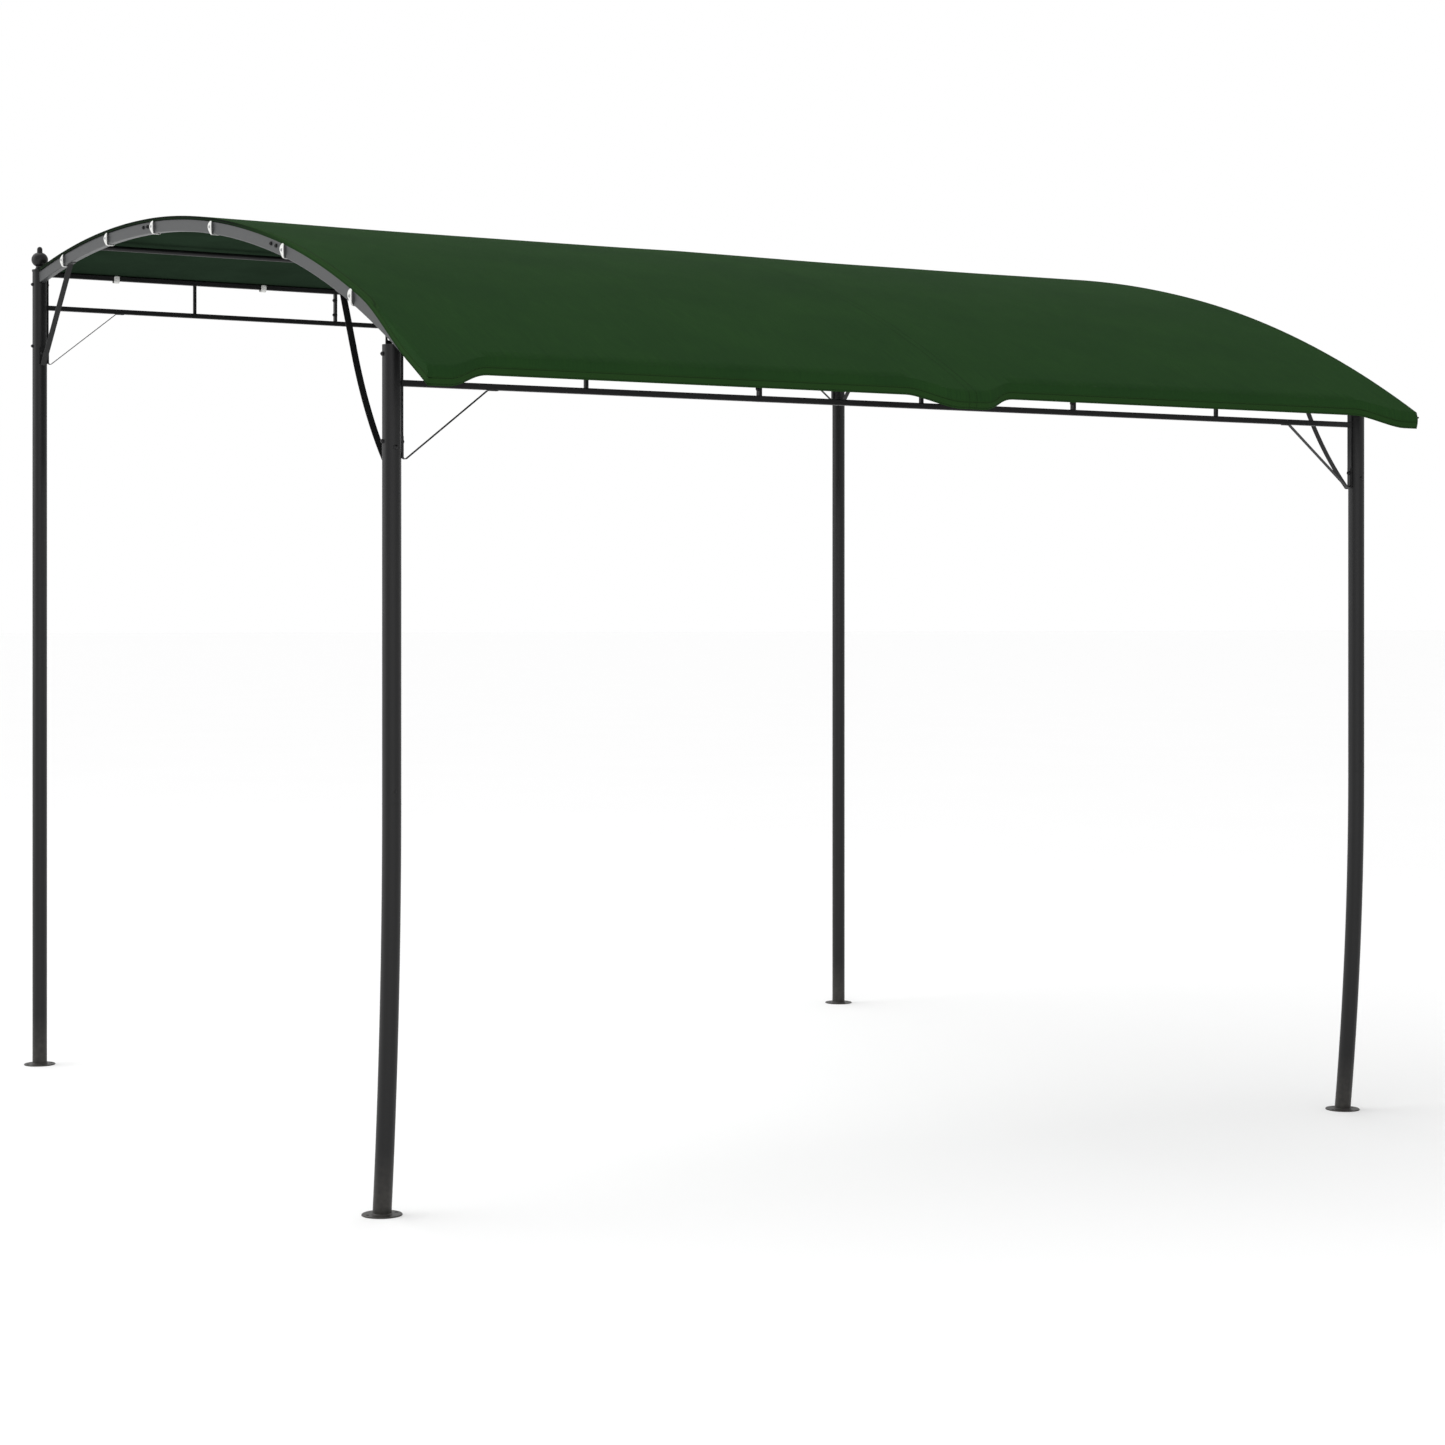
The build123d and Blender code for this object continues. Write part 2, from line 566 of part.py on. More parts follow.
def strap_set():
    for name, side in (("left", -1), ("right", 1)):
        x = side * POST_SPAN / 2
        save("arch_straps_" + name, [arch_strap(x, side, depth) for depth in ARCH_STRAP_DEPTHS])
    pitch = POST_SPAN / RAIL_STRAP_COUNT
    save("rail_straps", [rail_strap((index + 0.5) * pitch - POST_SPAN / 2)
                         for index in range(RAIL_STRAP_COUNT)])


def purlins_and_roof():
    for name, side in (("left", -1), ("right", 1)):
        save("purlins_" + name, [purlin(side, depth) for depth in PURLIN_DEPTHS])
    save("canopy", roof())


# ---- bolts --------------------------------------------------------------------------------
def bolt_set():
    long_grip = 2 * POST_R + BAR_T
    under_strip = STRIP + STRIP_GAP
    posts, braces = [], []
    for sign in (-1, 1):
        x = sign * POST_SPAN / 2
        for depth, heights in ((0, REAR_POST_BOLTS), (POST_DEPTH, FRONT_POST_BOLTS)):
            for order, z in enumerate(heights):
                grip = long_grip + (under_strip if order == 0 else 0)
                centre = x - sign * (grip / 2 - POST_R)
                posts.append(bolt(centre, depth, z, grip, "x"))
        brace_grip = 2 * POST_R + under_strip
        braces.append(bolt(x, under_strip / 2, REAR_BRACE_BOLT, brace_grip, "y"))
        braces.append(bolt(x, POST_DEPTH - under_strip / 2, FRONT_BRACE_BOLT, brace_grip, "y"))
    save("post_bolts", posts)
    save("brace_bolts", braces)
    arches = []
    for x in ARCH_X:
        for splice in SPLICE_DEPTHS:
            for depth in splice_bolt_depths(splice):
                at, height = roof_point(depth, ARCH_DEEP / 2)
                arches.append(bolt(x, at, height, ARCH_WIDE, "x"))
    save("arch_bolts", arches)
    joints = []
    for sign in (-1, 1):
        x = sign * PANEL / 2
        for depth, heights in ((0, REAR_JOINT_BOLTS), (POST_DEPTH, FRONT_JOINT_BOLTS)):
            joints += [bolt(x, depth, z, 2 * BAR_T, "x") for z in heights]
    save("truss_bolts", joints)


def sleeves():
    parts = []
    for x in (-POST_SPAN / 2, POST_SPAN / 2):
        for depth, joint in ((0, REAR_JOINT), (POST_DEPTH, FRONT_JOINT)):
            parts.append(tube(SLEEVE_R, SLEEVE_WALL, joint - SLEEVE_HALF, joint + SLEEVE_HALF, x,
                              depth))
    save("post_joint_sleeves", parts)


for side, sign in (("left", -1), ("right", 1)):
    post_set(side, sign * POST_SPAN / 2)
sleeves()
post_caps()
arch_set()
truss_set()
brace_set()
purlins_and_roof()
strap_set()
bolt_set()
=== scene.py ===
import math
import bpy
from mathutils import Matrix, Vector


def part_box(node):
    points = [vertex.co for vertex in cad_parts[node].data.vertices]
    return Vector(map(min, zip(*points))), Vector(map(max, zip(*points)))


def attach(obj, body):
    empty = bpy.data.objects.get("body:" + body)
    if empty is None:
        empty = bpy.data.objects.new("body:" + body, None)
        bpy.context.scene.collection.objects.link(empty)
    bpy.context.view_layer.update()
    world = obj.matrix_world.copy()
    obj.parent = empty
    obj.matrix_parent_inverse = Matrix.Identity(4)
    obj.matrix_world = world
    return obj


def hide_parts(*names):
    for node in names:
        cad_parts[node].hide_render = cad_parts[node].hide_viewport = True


bl_info = {
    "name": "Garden Awning",
    "version": (1, 0, 0),
    "blender": (4, 5, 0),
    "location": "View3D > Sidebar > Awning",
    "description": "Fabric roof, straps, bolts and finishes for a curved garden awning",
    "category": "Object",
}

import bmesh
import bpy
from bpy.props import FloatProperty, IntProperty, PointerProperty, StringProperty
from mathutils import Matrix, Vector, noise

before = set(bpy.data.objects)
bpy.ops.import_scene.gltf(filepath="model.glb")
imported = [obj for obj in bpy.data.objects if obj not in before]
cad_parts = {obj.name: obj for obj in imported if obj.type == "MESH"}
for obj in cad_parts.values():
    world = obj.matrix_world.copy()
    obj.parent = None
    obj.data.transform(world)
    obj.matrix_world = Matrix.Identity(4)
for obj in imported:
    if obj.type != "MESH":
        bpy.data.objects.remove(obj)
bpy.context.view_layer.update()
MM = 0.001
SIDES = (("left", -1), ("right", 1))


# ---- places read from the frame ------------------------------------------------------------
def middle(node):
    low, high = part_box(node)
    return (low + high) / 2


HALF_SPAN = middle("rear_post_upper_right").x
REAR_Y = middle("rear_post_upper_left").y
POST_R = (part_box("rear_post_upper_left")[1].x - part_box("rear_post_upper_left")[0].x) / 2
TUBE_HALF = (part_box("arch_mid_front")[1].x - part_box("arch_mid_front")[0].x) / 2
TUBE_DEEP = 40 * MM
THREAD_PITCH = 2.4 * MM
STITCH_PITCH = 6 * MM
STITCH_HALF = 1.1 * MM
HEM_STITCHES = (4 * MM, 18 * MM)
MIDDLE_STITCH = 11 * MM
PLATE_TOP = 3 * MM
BUTTON_RISE = 30 * MM
ARCH_XS = (-HALF_SPAN, 0.0, HALF_SPAN)


def islands(node):
    """(lowest corner, highest corner) of each separate solid in a CAD node, left to right."""
    bm = bmesh.new()
    bm.from_mesh(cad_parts[node].data)
    bmesh.ops.remove_doubles(bm, verts=bm.verts, dist=1e-6)
    unseen = set(bm.verts)
    boxes = []
    while unseen:
        stack = [unseen.pop()]
        found = []
        while stack:
            vert = stack.pop()
            found.append(vert.co.copy())
            for edge in vert.link_edges:
                other = edge.other_vert(vert)
                if other in unseen:
                    unseen.remove(other)
                    stack.append(other)
        low = Vector([min(co[axis] for co in found) for axis in range(3)])
        high = Vector([max(co[axis] for co in found) for axis in range(3)])
        boxes.append((low, high))
    bm.free()
    return sorted(boxes, key=lambda box: (round(box[0].x, 3), -box[0].y, box[0].z))


# ---- sizes and colours that a maker would change -------------------------------------------
def length(name, description, default):
    return FloatProperty(name=name, description=description, default=default, unit="LENGTH",
                         subtype="DISTANCE", precision=4)


def colour(name, description, default):
    return StringProperty(name=name, description=description, default=default)


class AwningRoofSettings(bpy.types.PropertyGroup):
    crest_depth: length("Crest depth", "Rear post axis to the roof's highest line", 0.731)
    rear_radius: length("Rear radius", "Top radius of the arches' rear sections", 5.660)
    centre_radius: length("Centre radius", "Top radius of the arches' centre sections", 4.833)
    front_radius: length("Front radius", "Top radius of the arches' front sections", 3.760)
    cloth: length("Cloth thickness", "Thickness of the coated polyester", 1.2 * MM)
    lift: length("Lift", "Middle of the cloth above the arch tubes", 2.2 * MM)
    overhang: length("Overhang", "How far the cloth reaches past a side arch's face", 2.0 * MM)
    row: length("Row", "Spacing of the mesh rows along the arches", 38 * MM)
    fine: length("Fine column", "Spacing of the mesh columns near the arches", 12 * MM)
    coarse: length("Coarse column", "Spacing of the mesh columns between the arches", 55 * MM)
    notch_depth: length("Notch depth", "Where the full width starts, in front of the rear posts",
                        30 * MM)
    notch_side: length("Notch side", "Clearance of the rear strip from each post axis", 34 * MM)
    rear_hem: length("Rear hem", "How far the cloth reaches behind the rear rail's axis", 10 * MM)
    rear_fold: length("Rear fold", "How far the rear hem hangs down", 9 * MM)
    front_hem: length("Front hem", "Rear post axis to the front edge between the arches", 2.929)
    tongue_end: length("Tongue end", "Rear post axis to the front of the tongues", 2.984)
    tongue_half: length("Tongue", "Half-width of the cloth tongue over an arch end", 164 * MM)
    tongue_flat: length("Tongue front", "Half-width of a tongue's straight front", 36 * MM)
    front_fold: length("Front fold", "How far the front edge hangs down", 43 * MM)
    tongue_fold: length("Tongue fold", "How much further the tongues hang down", 2 * MM)
    swell: length("Swell", "How far the front fold swells out half-way down", 5 * MM)
    side_fold: length("Side fold", "How far the sides are folded down over the arches", 10 * MM)
    pocket_start: length("Pocket start", "Where the side fold starts to deepen", 2.60)
    pocket_full: length("Pocket full", "Where the side fold covers the whole tube", 2.87)
    # painted shade: the side folds are painted near-black up to this depth and fade to the roof's
    # colour by the next one
    fold_shade_from: length("Dark fold", "Where the dark side fold starts to fade", 1.7)
    fold_shade_to: length("Dark fold end", "Where the side fold has the roof's own colour", 2.2)
    hem: length("Hem", "Width of the doubled and stitched edge", 22 * MM)
    sag: length("Sag", "How far the taut cloth dips between two arches", 3 * MM)
    wrinkle: length("Wrinkle", "Height of the faint waves in the cloth", 0.8 * MM)


class AwningTrimSettings(bpy.types.PropertyGroup):
    strap_width: length("Strap width", "Width of the webbing loops", 18 * MM)
    strap_cloth: length("Strap thickness", "Thickness of the webbing", 1.4 * MM)
    strap_bulge: length("Strap bulge", "How far a loop stands off the arch", 7 * MM)
    snap_radius: length("Snap radius", "Radius of the snap buttons", 4.2 * MM)
    washer: length("Washer", "Radius of the bolt washers", 6.4 * MM)
    bead: length("Weld bead", "Radius of the weld bead round a post's foot", 1.7 * MM)
    button: length("Spring button", "Radius of the buttons that lock the post joints", 4 * MM)
    bolt_sides: IntProperty(name="Bolt sides", description="Faces round a bolt head", default=20,
                            min=8, max=64)


class AwningFinishSettings(bpy.types.PropertyGroup):
    post_coat: colour("Frame coat", "Charcoal powder coat of posts, rails and braces", "#121213")
    # painted light: the arches' coat is lighter than the frame coat, standing in for the light on
    # their outer faces
    arch_coat_painted_light: colour("Arch coat", "Powder coat of the arches", "#313334")
    bolt_coat: colour("Bolt coat", "Blackened steel", "#1B1B1C")
    cloth_top: colour("Roof cloth", "Dark green dyed polyester", "#223F1D")
    cloth_deep: colour("Roof cloth shade", "The same where the dye is deeper", "#1D371B")
    cloth_hem: colour("Hem cloth", "Doubled hems and pockets", "#213B1B")
    # painted shade: this near-black colour on the side folds stands in for the shade on the
    # turned-down hems
    side_fold_painted_shade: colour("Side fold", "The hems turned down over the side arches", "#0E150F")
    cloth_under: colour("Underside", "The coated side of the cloth", "#223024")
    thread: colour("Thread", "Stitching of the hems", "#1A2E17")
    webbing: colour("Webbing", "White polypropylene webbing", "#EDEDEA")
    snap: colour("Snap", "Nickel-plated snap buttons", "#8E8F90")
    plug: colour("Plug", "Moulded tube ends", "#151515")
    floor: colour("Floor", "Pale studio floor", "#F4F4F4")


class AwningStageSettings(bpy.types.PropertyGroup):
    eye_height: length("Eye height", "Height of the camera above the ground", 1.40)
    camera_x: length("Camera side", "Camera place along the front", -4.2436)
    camera_back: length("Camera distance", "Camera in front of the rear posts", 9.0669)
    camera_turn: FloatProperty(name="Camera turn", description="Turn from looking along +Y",
                               default=math.radians(-30.03), subtype="ANGLE", unit="ROTATION")
    lens: FloatProperty(name="Lens", description="Focal length on a 36 mm sensor", default=72.95,
                        unit="CAMERA")
    rise: FloatProperty(name="Shift", description="Vertical lens shift", default=-0.0708)
    sky: FloatProperty(name="Sky", description="Strength of the white surround", default=0.70)
    top: FloatProperty(name="Top light", description="Strength of the overhead light",
                       default=1.5)
    side: FloatProperty(name="Side light", description="Power of the soft box at the left",
                        default=260.0, unit="POWER")
    floor_fill: FloatProperty(name="Floor fill",
                              description="Power of the soft box below the roof",
                              default=24.0, unit="POWER")
    front: FloatProperty(name="Front light", description="Power of the soft box in front",
                         default=120.0, unit="POWER")


# ---- the roof's curve: three tangent arcs ---------------------------------------------------
class Arc:
    """One arch section's top line, as an arc about a line along X."""

    def __init__(self, y, z, radius, start, end):
        self.y, self.z, self.radius, self.start, self.end = y, z, radius, start, end

    def angle(self, y):
        return math.asin((self.y - y) / self.radius)


def roof_arcs(settings):
    radii = (settings.rear_radius, settings.centre_radius, settings.front_radius)
    ends = [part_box("arch_left_" + part)[0].y for part in ("rear", "centre", "front")]
    y = REAR_Y - settings.crest_depth
    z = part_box("arch_left_rear")[1].z - radii[0]
    start = math.asin((y - REAR_Y) / radii[0])
    arcs = []
    for index, radius in enumerate(radii):
        arc = Arc(y, z, radius, start, math.asin((y - ends[index]) / radius))
        arcs.append(arc)
        if index < 2:
            shrink = radius - radii[index + 1]
            y -= shrink * math.sin(arc.end)
            z += shrink * math.cos(arc.end)
            start = arc.end
    return arcs


def arc_of(arcs, y):
    """The arc over a place, and the angle there. The last arc also serves past its end."""
    for arc in arcs:
        angle = arc.angle(y)
        if angle <= arc.end or arc is arcs[-1]:
            return arc, angle


def slope_frame(arcs, x, y):
    """A matrix at the arch's top line: its Z is square to the roof and -Y points down it."""
    arc, angle = arc_of(arcs, y)
    place = Vector((x, arc.y - arc.radius * math.sin(angle), arc.z + arc.radius * math.cos(angle)))
    return Matrix.Translation(place) @ Matrix.Rotation(angle, 4, "X")


def smooth(low, high, value):
    t = min(max((value - low) / (high - low), 0.0), 1.0)
    return t * t * (3 - 2 * t)


# ---- materials ------------------------------------------------------------------------------
def linear(hex_colour):
    """An sRGB hex value as linear red, green, blue and alpha."""
    parts = [int(hex_colour[i:i + 2], 16) / 255 for i in (1, 3, 5)]
    return [c / 12.92 if c <= 0.04045 else ((c + 0.055) / 1.055) ** 2.4 for c in parts] + [1.0]


def add(tree, kind, values=None, links=None, **settings):
    """Adds a node with its settings, its socket values and its incoming links."""
    node = tree.nodes.new(kind)
    for name, value in settings.items():
        setattr(node, name, value)
    for name, value in (values or {}).items():
        node.inputs[name].default_value = value
    for name, socket in (links or {}).items():
        tree.links.new(socket, node.inputs[name])
    return node


def new_material(name):
    material = bpy.data.materials.new(name)
    material.use_nodes = True
    material.node_tree.nodes.clear()
    return material, material.node_tree


def close(tree, shader):
    add(tree, "ShaderNodeOutputMaterial", links={"Surface": shader.outputs[0]})


def powder_coat(name, hex_colour, roughness, gloss_level):
    """Polyester powder coat, sprayed and baked on steel: a satin skin with fine orange peel,
    slightly uneven in tone, and dusty near the ground."""
    material, tree = new_material(name)
    place = add(tree, "ShaderNodeTexCoord").outputs["Object"]
    tone = add(tree, "ShaderNodeTexNoise", {"Scale": 1 / 0.09, "Detail": 4.0}, {"Vector": place})
    base = linear(hex_colour)
    light = [min(1.0, c * 1.22) for c in base[:3]] + [1.0]
    dark = [c * 0.84 for c in base[:3]] + [1.0]
    mixed = add(tree, "ShaderNodeMix", {"A": dark, "B": light}, {"Factor": tone.outputs["Fac"]},
                data_type="RGBA")
    height = add(tree, "ShaderNodeSeparateXYZ", links={"Vector": place})
    low = add(tree, "ShaderNodeMapRange", {"From Min": 0.0, "From Max": 0.16, "To Min": 0.35,
                                           "To Max": 0.0}, {"Value": height.outputs["Z"]})
    speck = add(tree, "ShaderNodeTexNoise", {"Scale": 1 / 0.012, "Detail": 6.0},
                {"Vector": place})
    dust = add(tree, "ShaderNodeMath", links={0: low.outputs[0], 1: speck.outputs["Fac"]},
               operation="MULTIPLY")
    dusty = add(tree, "ShaderNodeMix", {"B": linear("#6E6A63")},
                {"Factor": dust.outputs[0], "A": mixed.outputs["Result"]}, data_type="RGBA")
    peel = add(tree, "ShaderNodeTexNoise", {"Scale": 1 / 0.0022, "Detail": 2.0},
               {"Vector": place})
    gloss = add(tree, "ShaderNodeMapRange", {"To Min": roughness - 0.06,
                                             "To Max": roughness + 0.08},
                {"Value": tone.outputs["Fac"]})
    bump = add(tree, "ShaderNodeBump", {"Strength": 0.35, "Distance": 0.00025},
               {"Height": peel.outputs["Fac"]})
    shader = add(tree, "ShaderNodeBsdfPrincipled",
                 {"IOR": 1.5, "Specular IOR Level": gloss_level},
                 {"Base Color": dusty.outputs["Result"], "Roughness": gloss.outputs[0],
                  "Normal": bump.outputs[0]})
    close(tree, shader)
    return material


def black_steel(name, hex_colour):
    """Blackened, oiled steel: a dark conversion coat with small rubbed spots."""
    material, tree = new_material(name)
    place = add(tree, "ShaderNodeTexCoord").outputs["Object"]
    rub = add(tree, "ShaderNodeTexNoise", {"Scale": 1 / 0.004, "Detail": 5.0}, {"Vector": place})
    mask = add(tree, "ShaderNodeMapRange", {"From Min": 0.62, "From Max": 0.78},
               {"Value": rub.outputs["Fac"]})
    mixed = add(tree, "ShaderNodeMix", {"A": linear(hex_colour), "B": linear("#4B4B4D")},
                {"Factor": mask.outputs[0]}, data_type="RGBA")
    shader = add(tree, "ShaderNodeBsdfPrincipled", {"Metallic": 0.55, "Roughness": 0.42},
                 {"Base Color": mixed.outputs["Result"]})
    close(tree, shader)
    return material


def nickel(name, hex_colour):
    """Nickel-plated brass, pressed and polished, with light handling scratches."""
    material, tree = new_material(name)
    place = add(tree, "ShaderNodeTexCoord").outputs["Object"]
    wear = add(tree, "ShaderNodeTexNoise", {"Scale": 1 / 0.0015, "Detail": 4.0},
               {"Vector": place})
    rough = add(tree, "ShaderNodeMapRange", {"To Min": 0.2, "To Max": 0.42},
                {"Value": wear.outputs["Fac"]})
    shader = add(tree, "ShaderNodeBsdfPrincipled",
                 {"Base Color": linear(hex_colour), "Metallic": 1.0},
                 {"Roughness": rough.outputs[0]})
    close(tree, shader)
    return material


def moulded_plastic(name, hex_colour):
    """Injection-moulded polypropylene with a fine sparked grain."""
    material, tree = new_material(name)
    place = add(tree, "ShaderNodeTexCoord").outputs["Object"]
    grain = add(tree, "ShaderNodeTexVoronoi", {"Scale": 1 / 0.0012}, {"Vector": place})
    bump = add(tree, "ShaderNodeBump", {"Strength": 0.3, "Distance": 0.0002},
               {"Height": grain.outputs["Distance"]})
    shader = add(tree, "ShaderNodeBsdfPrincipled",
                 {"Base Color": linear(hex_colour), "Roughness": 0.55, "IOR": 1.49},
                 {"Normal": bump.outputs[0]})
    close(tree, shader)
    return material


def weave(tree, cloth, pitch):
    """Height of a plain weave: warp and weft ribs of one pitch that cross at right angles."""
    ribs = []
    for direction in ("X", "Y"):
        rib = add(tree, "ShaderNodeTexWave", {"Scale": 0.314 / pitch, "Distortion": 0.4,
                                              "Detail": 1.0}, {"Vector": cloth},
                  wave_type="BANDS", bands_direction=direction)
        ribs.append(rib.outputs["Fac"])
    return add(tree, "ShaderNodeMath", links={0: ribs[0], 1: ribs[1]}, operation="MULTIPLY")


def dashes(tree, along, pitch):
    """One where a stitch shows and zero between two stitches."""
    scaled = add(tree, "ShaderNodeMath", {1: 1 / pitch}, {0: along}, operation="MULTIPLY")
    phase = add(tree, "ShaderNodeMath", links={0: scaled.outputs[0]}, operation="FRACT")
    return add(tree, "ShaderNodeMath", {1: 0.72}, {0: phase.outputs[0]}, operation="LESS_THAN")


def roof_cloth(name, finish):
    """Dyed woven polyester with a thin coating, which leaves it deep in colour and quite matt.
    Its 0.5 mm threads are drawn 2.4 mm apart so that they show. Hems are doubled and stitched,
    and painted shade darkens the side folds towards the rear."""
    material, tree = new_material(name)
    roof = bpy.context.scene.awning_roof
    edge = HALF_SPAN + TUBE_HALF + roof.overhang + 0.001
    cloth = add(tree, "ShaderNodeUVMap", uv_map="cloth").outputs["UV"]
    rim = add(tree, "ShaderNodeAttribute", attribute_name="rim").outputs["Fac"]
    parts = add(tree, "ShaderNodeSeparateXYZ", links={"Vector": cloth})
    seam = add(tree, "ShaderNodeMath", links={0: parts.outputs["X"]},
               operation="ABSOLUTE").outputs[0]
    along = add(tree, "ShaderNodeMath", links={0: parts.outputs["X"], 1: parts.outputs["Y"]},
                operation="ADD")
    cloud = add(tree, "ShaderNodeTexNoise", {"Scale": 1 / 0.35, "Detail": 5.0,
                                             "Roughness": 0.6}, {"Vector": cloth})
    slub = add(tree, "ShaderNodeMapping", {"Scale": (400.0, 9.0, 1.0)}, {"Vector": cloth})
    streak = add(tree, "ShaderNodeTexNoise", {"Scale": 1.0, "Detail": 2.0},
                 {"Vector": slub.outputs[0]})
    uneven = add(tree, "ShaderNodeMath", links={0: cloud.outputs["Fac"],
                                                1: streak.outputs["Fac"]},
                 operation="MULTIPLY")
    dye = add(tree, "ShaderNodeMapRange", {"From Min": 0.12, "From Max": 0.42},
              {"Value": uneven.outputs[0]})
    body = add(tree, "ShaderNodeMix", {"A": linear(finish.cloth_deep),
                                       "B": linear(finish.cloth_top)},
               {"Factor": dye.outputs[0]}, data_type="RGBA")
    doubled = add(tree, "ShaderNodeMapRange", {"From Min": 0.0205, "From Max": 0.0225,
                                               "To Min": 1.0, "To Max": 0.0}, {"Value": rim})
    hemmed = add(tree, "ShaderNodeMix", {"B": linear(finish.cloth_hem)},
                 {"Factor": doubled.outputs[0], "A": body.outputs["Result"]}, data_type="RGBA")
    # painted shade: the turned-down side folds are darkened towards the rear in place of the shade
    # they lie in
    turned = add(tree, "ShaderNodeMapRange", {"From Min": edge - 0.002, "From Max": edge},
                 {"Value": seam})
    depth = add(tree, "ShaderNodeAttribute", attribute_name="depth").outputs["Fac"]
    faded = add(tree, "ShaderNodeMapRange", {"From Min": roof.fold_shade_from, "From Max": roof.fold_shade_to,
                                             "To Min": 1.0, "To Max": 0.0}, {"Value": depth})
    dark = add(tree, "ShaderNodeMath", links={0: turned.outputs[0], 1: faded.outputs[0]},
               operation="MULTIPLY")
    painted_fold_shade = add(tree, "ShaderNodeMix", {"B": linear(finish.side_fold_painted_shade)},
                      {"Factor": dark.outputs[0], "A": hemmed.outputs["Result"]},
                      data_type="RGBA")
    lines = [add(tree, "ShaderNodeMath", {1: at, 2: STITCH_HALF}, {0: across},
                 operation="COMPARE")
             for across, at in ((rim, HEM_STITCHES[0]), (rim, HEM_STITCHES[1]),
                                (seam, MIDDLE_STITCH))]
    both = add(tree, "ShaderNodeMath", links={0: lines[0].outputs[0], 1: lines[1].outputs[0]},
               operation="ADD")
    every = add(tree, "ShaderNodeMath", links={0: both.outputs[0], 1: lines[2].outputs[0]},
                operation="ADD", use_clamp=True)
    stitch = add(tree, "ShaderNodeMath", links={0: every.outputs[0],
                                                1: dashes(tree, along.outputs[0],
                                                          STITCH_PITCH).outputs[0]},
                 operation="MULTIPLY")
    sewn = add(tree, "ShaderNodeMix", {"B": linear(finish.thread)},
               {"Factor": stitch.outputs[0], "A": painted_fold_shade.outputs["Result"]},
               data_type="RGBA")
    ribs = weave(tree, cloth, THREAD_PITCH)
    fine = add(tree, "ShaderNodeBump", {"Strength": 0.4, "Distance": 0.0004},
               {"Height": ribs.outputs[0]})
    step = add(tree, "ShaderNodeMath", links={0: doubled.outputs[0], 1: stitch.outputs[0]},
               operation="SUBTRACT")
    thick = add(tree, "ShaderNodeBump", {"Strength": 0.8, "Distance": 0.0012},
                {"Height": step.outputs[0], "Normal": fine.outputs[0]})
    shader = add(tree, "ShaderNodeBsdfPrincipled",
                 {"Roughness": 0.92, "Specular IOR Level": 0.03},
                 {"Base Color": sewn.outputs["Result"], "Normal": thick.outputs[0]})
    close(tree, shader)
    return material


def cloth_underside(name, hex_colour):
    """The coated side of the cloth: darker than the dyed side, uneven and nearly matt."""
    material, tree = new_material(name)
    cloth = add(tree, "ShaderNodeUVMap", uv_map="cloth").outputs["UV"]
    cloud = add(tree, "ShaderNodeTexNoise", {"Scale": 1 / 0.22, "Detail": 6.0,
                                             "Roughness": 0.55}, {"Vector": cloth})
    shade = add(tree, "ShaderNodeMapRange", {"From Min": 0.3, "From Max": 0.7,
                                             "To Min": 0.8, "To Max": 1.15},
                {"Value": cloud.outputs["Fac"]})
    tone = add(tree, "ShaderNodeVectorMath", {0: linear(hex_colour)[:3]},
               {"Scale": shade.outputs[0]}, operation="SCALE")
    rough = add(tree, "ShaderNodeMapRange", {"From Min": 0.3, "From Max": 0.7,
                                             "To Min": 0.68, "To Max": 0.84},
                {"Value": cloud.outputs["Fac"]})
    ribs = weave(tree, cloth, THREAD_PITCH)
    fine = add(tree, "ShaderNodeBump", {"Strength": 0.25, "Distance": 0.0003},
               {"Height": ribs.outputs[0]})
    shader = add(tree, "ShaderNodeBsdfPrincipled", {"Specular IOR Level": 0.0},
                 {"Base Color": tone.outputs[0], "Roughness": rough.outputs[0],
                  "Normal": fine.outputs[0]})
    close(tree, shader)
    return material


def webbing(name, hex_colour):
    """Woven polypropylene webbing: crosswise ribs 1.6 mm apart and lengthwise ribs 2.6 mm apart.
    """
    material, tree = new_material(name)
    cloth = add(tree, "ShaderNodeUVMap", uv_map="cloth").outputs["UV"]
    rib = add(tree, "ShaderNodeTexWave", {"Scale": 0.314 / 0.0016}, {"Vector": cloth},
              wave_type="BANDS", bands_direction="Y")
    twill = add(tree, "ShaderNodeTexWave", {"Scale": 0.314 / 0.0026}, {"Vector": cloth},
                wave_type="BANDS", bands_direction="X")
    both = add(tree, "ShaderNodeMath", links={0: rib.outputs["Fac"], 1: twill.outputs["Fac"]},
               operation="ADD")
    base = linear(hex_colour)
    # painted shade: the webbing is painted darker in the valleys between its crosswise ribs
    shade = [c * 0.72 for c in base[:3]] + [1.0]
    mixed = add(tree, "ShaderNodeMix", {"A": shade, "B": base}, {"Factor": rib.outputs["Fac"]},
                data_type="RGBA")
    bump = add(tree, "ShaderNodeBump", {"Strength": 0.5, "Distance": 0.0004},
               {"Height": both.outputs[0]})
    shader = add(tree, "ShaderNodeBsdfPrincipled", {"Roughness": 0.62, "Sheen Weight": 0.1},
                 {"Base Color": mixed.outputs["Result"], "Normal": bump.outputs[0]})
    close(tree, shader)
    return material


def studio_floor(name, hex_colour):
    """Painted seamless floor, almost white and matt."""
    material, tree = new_material(name)
    place = add(tree, "ShaderNodeTexCoord").outputs["Object"]
    soft = add(tree, "ShaderNodeTexNoise", {"Scale": 0.7, "Detail": 2.0}, {"Vector": place})
    base = linear(hex_colour)
    shade = [c * 0.985 for c in base[:3]] + [1.0]
    mixed = add(tree, "ShaderNodeMix", {"A": shade, "B": base}, {"Factor": soft.outputs["Fac"]},
                data_type="RGBA")
    shader = add(tree, "ShaderNodeBsdfPrincipled", {"Roughness": 0.9},
                 {"Base Color": mixed.outputs["Result"]})
    close(tree, shader)
    return material


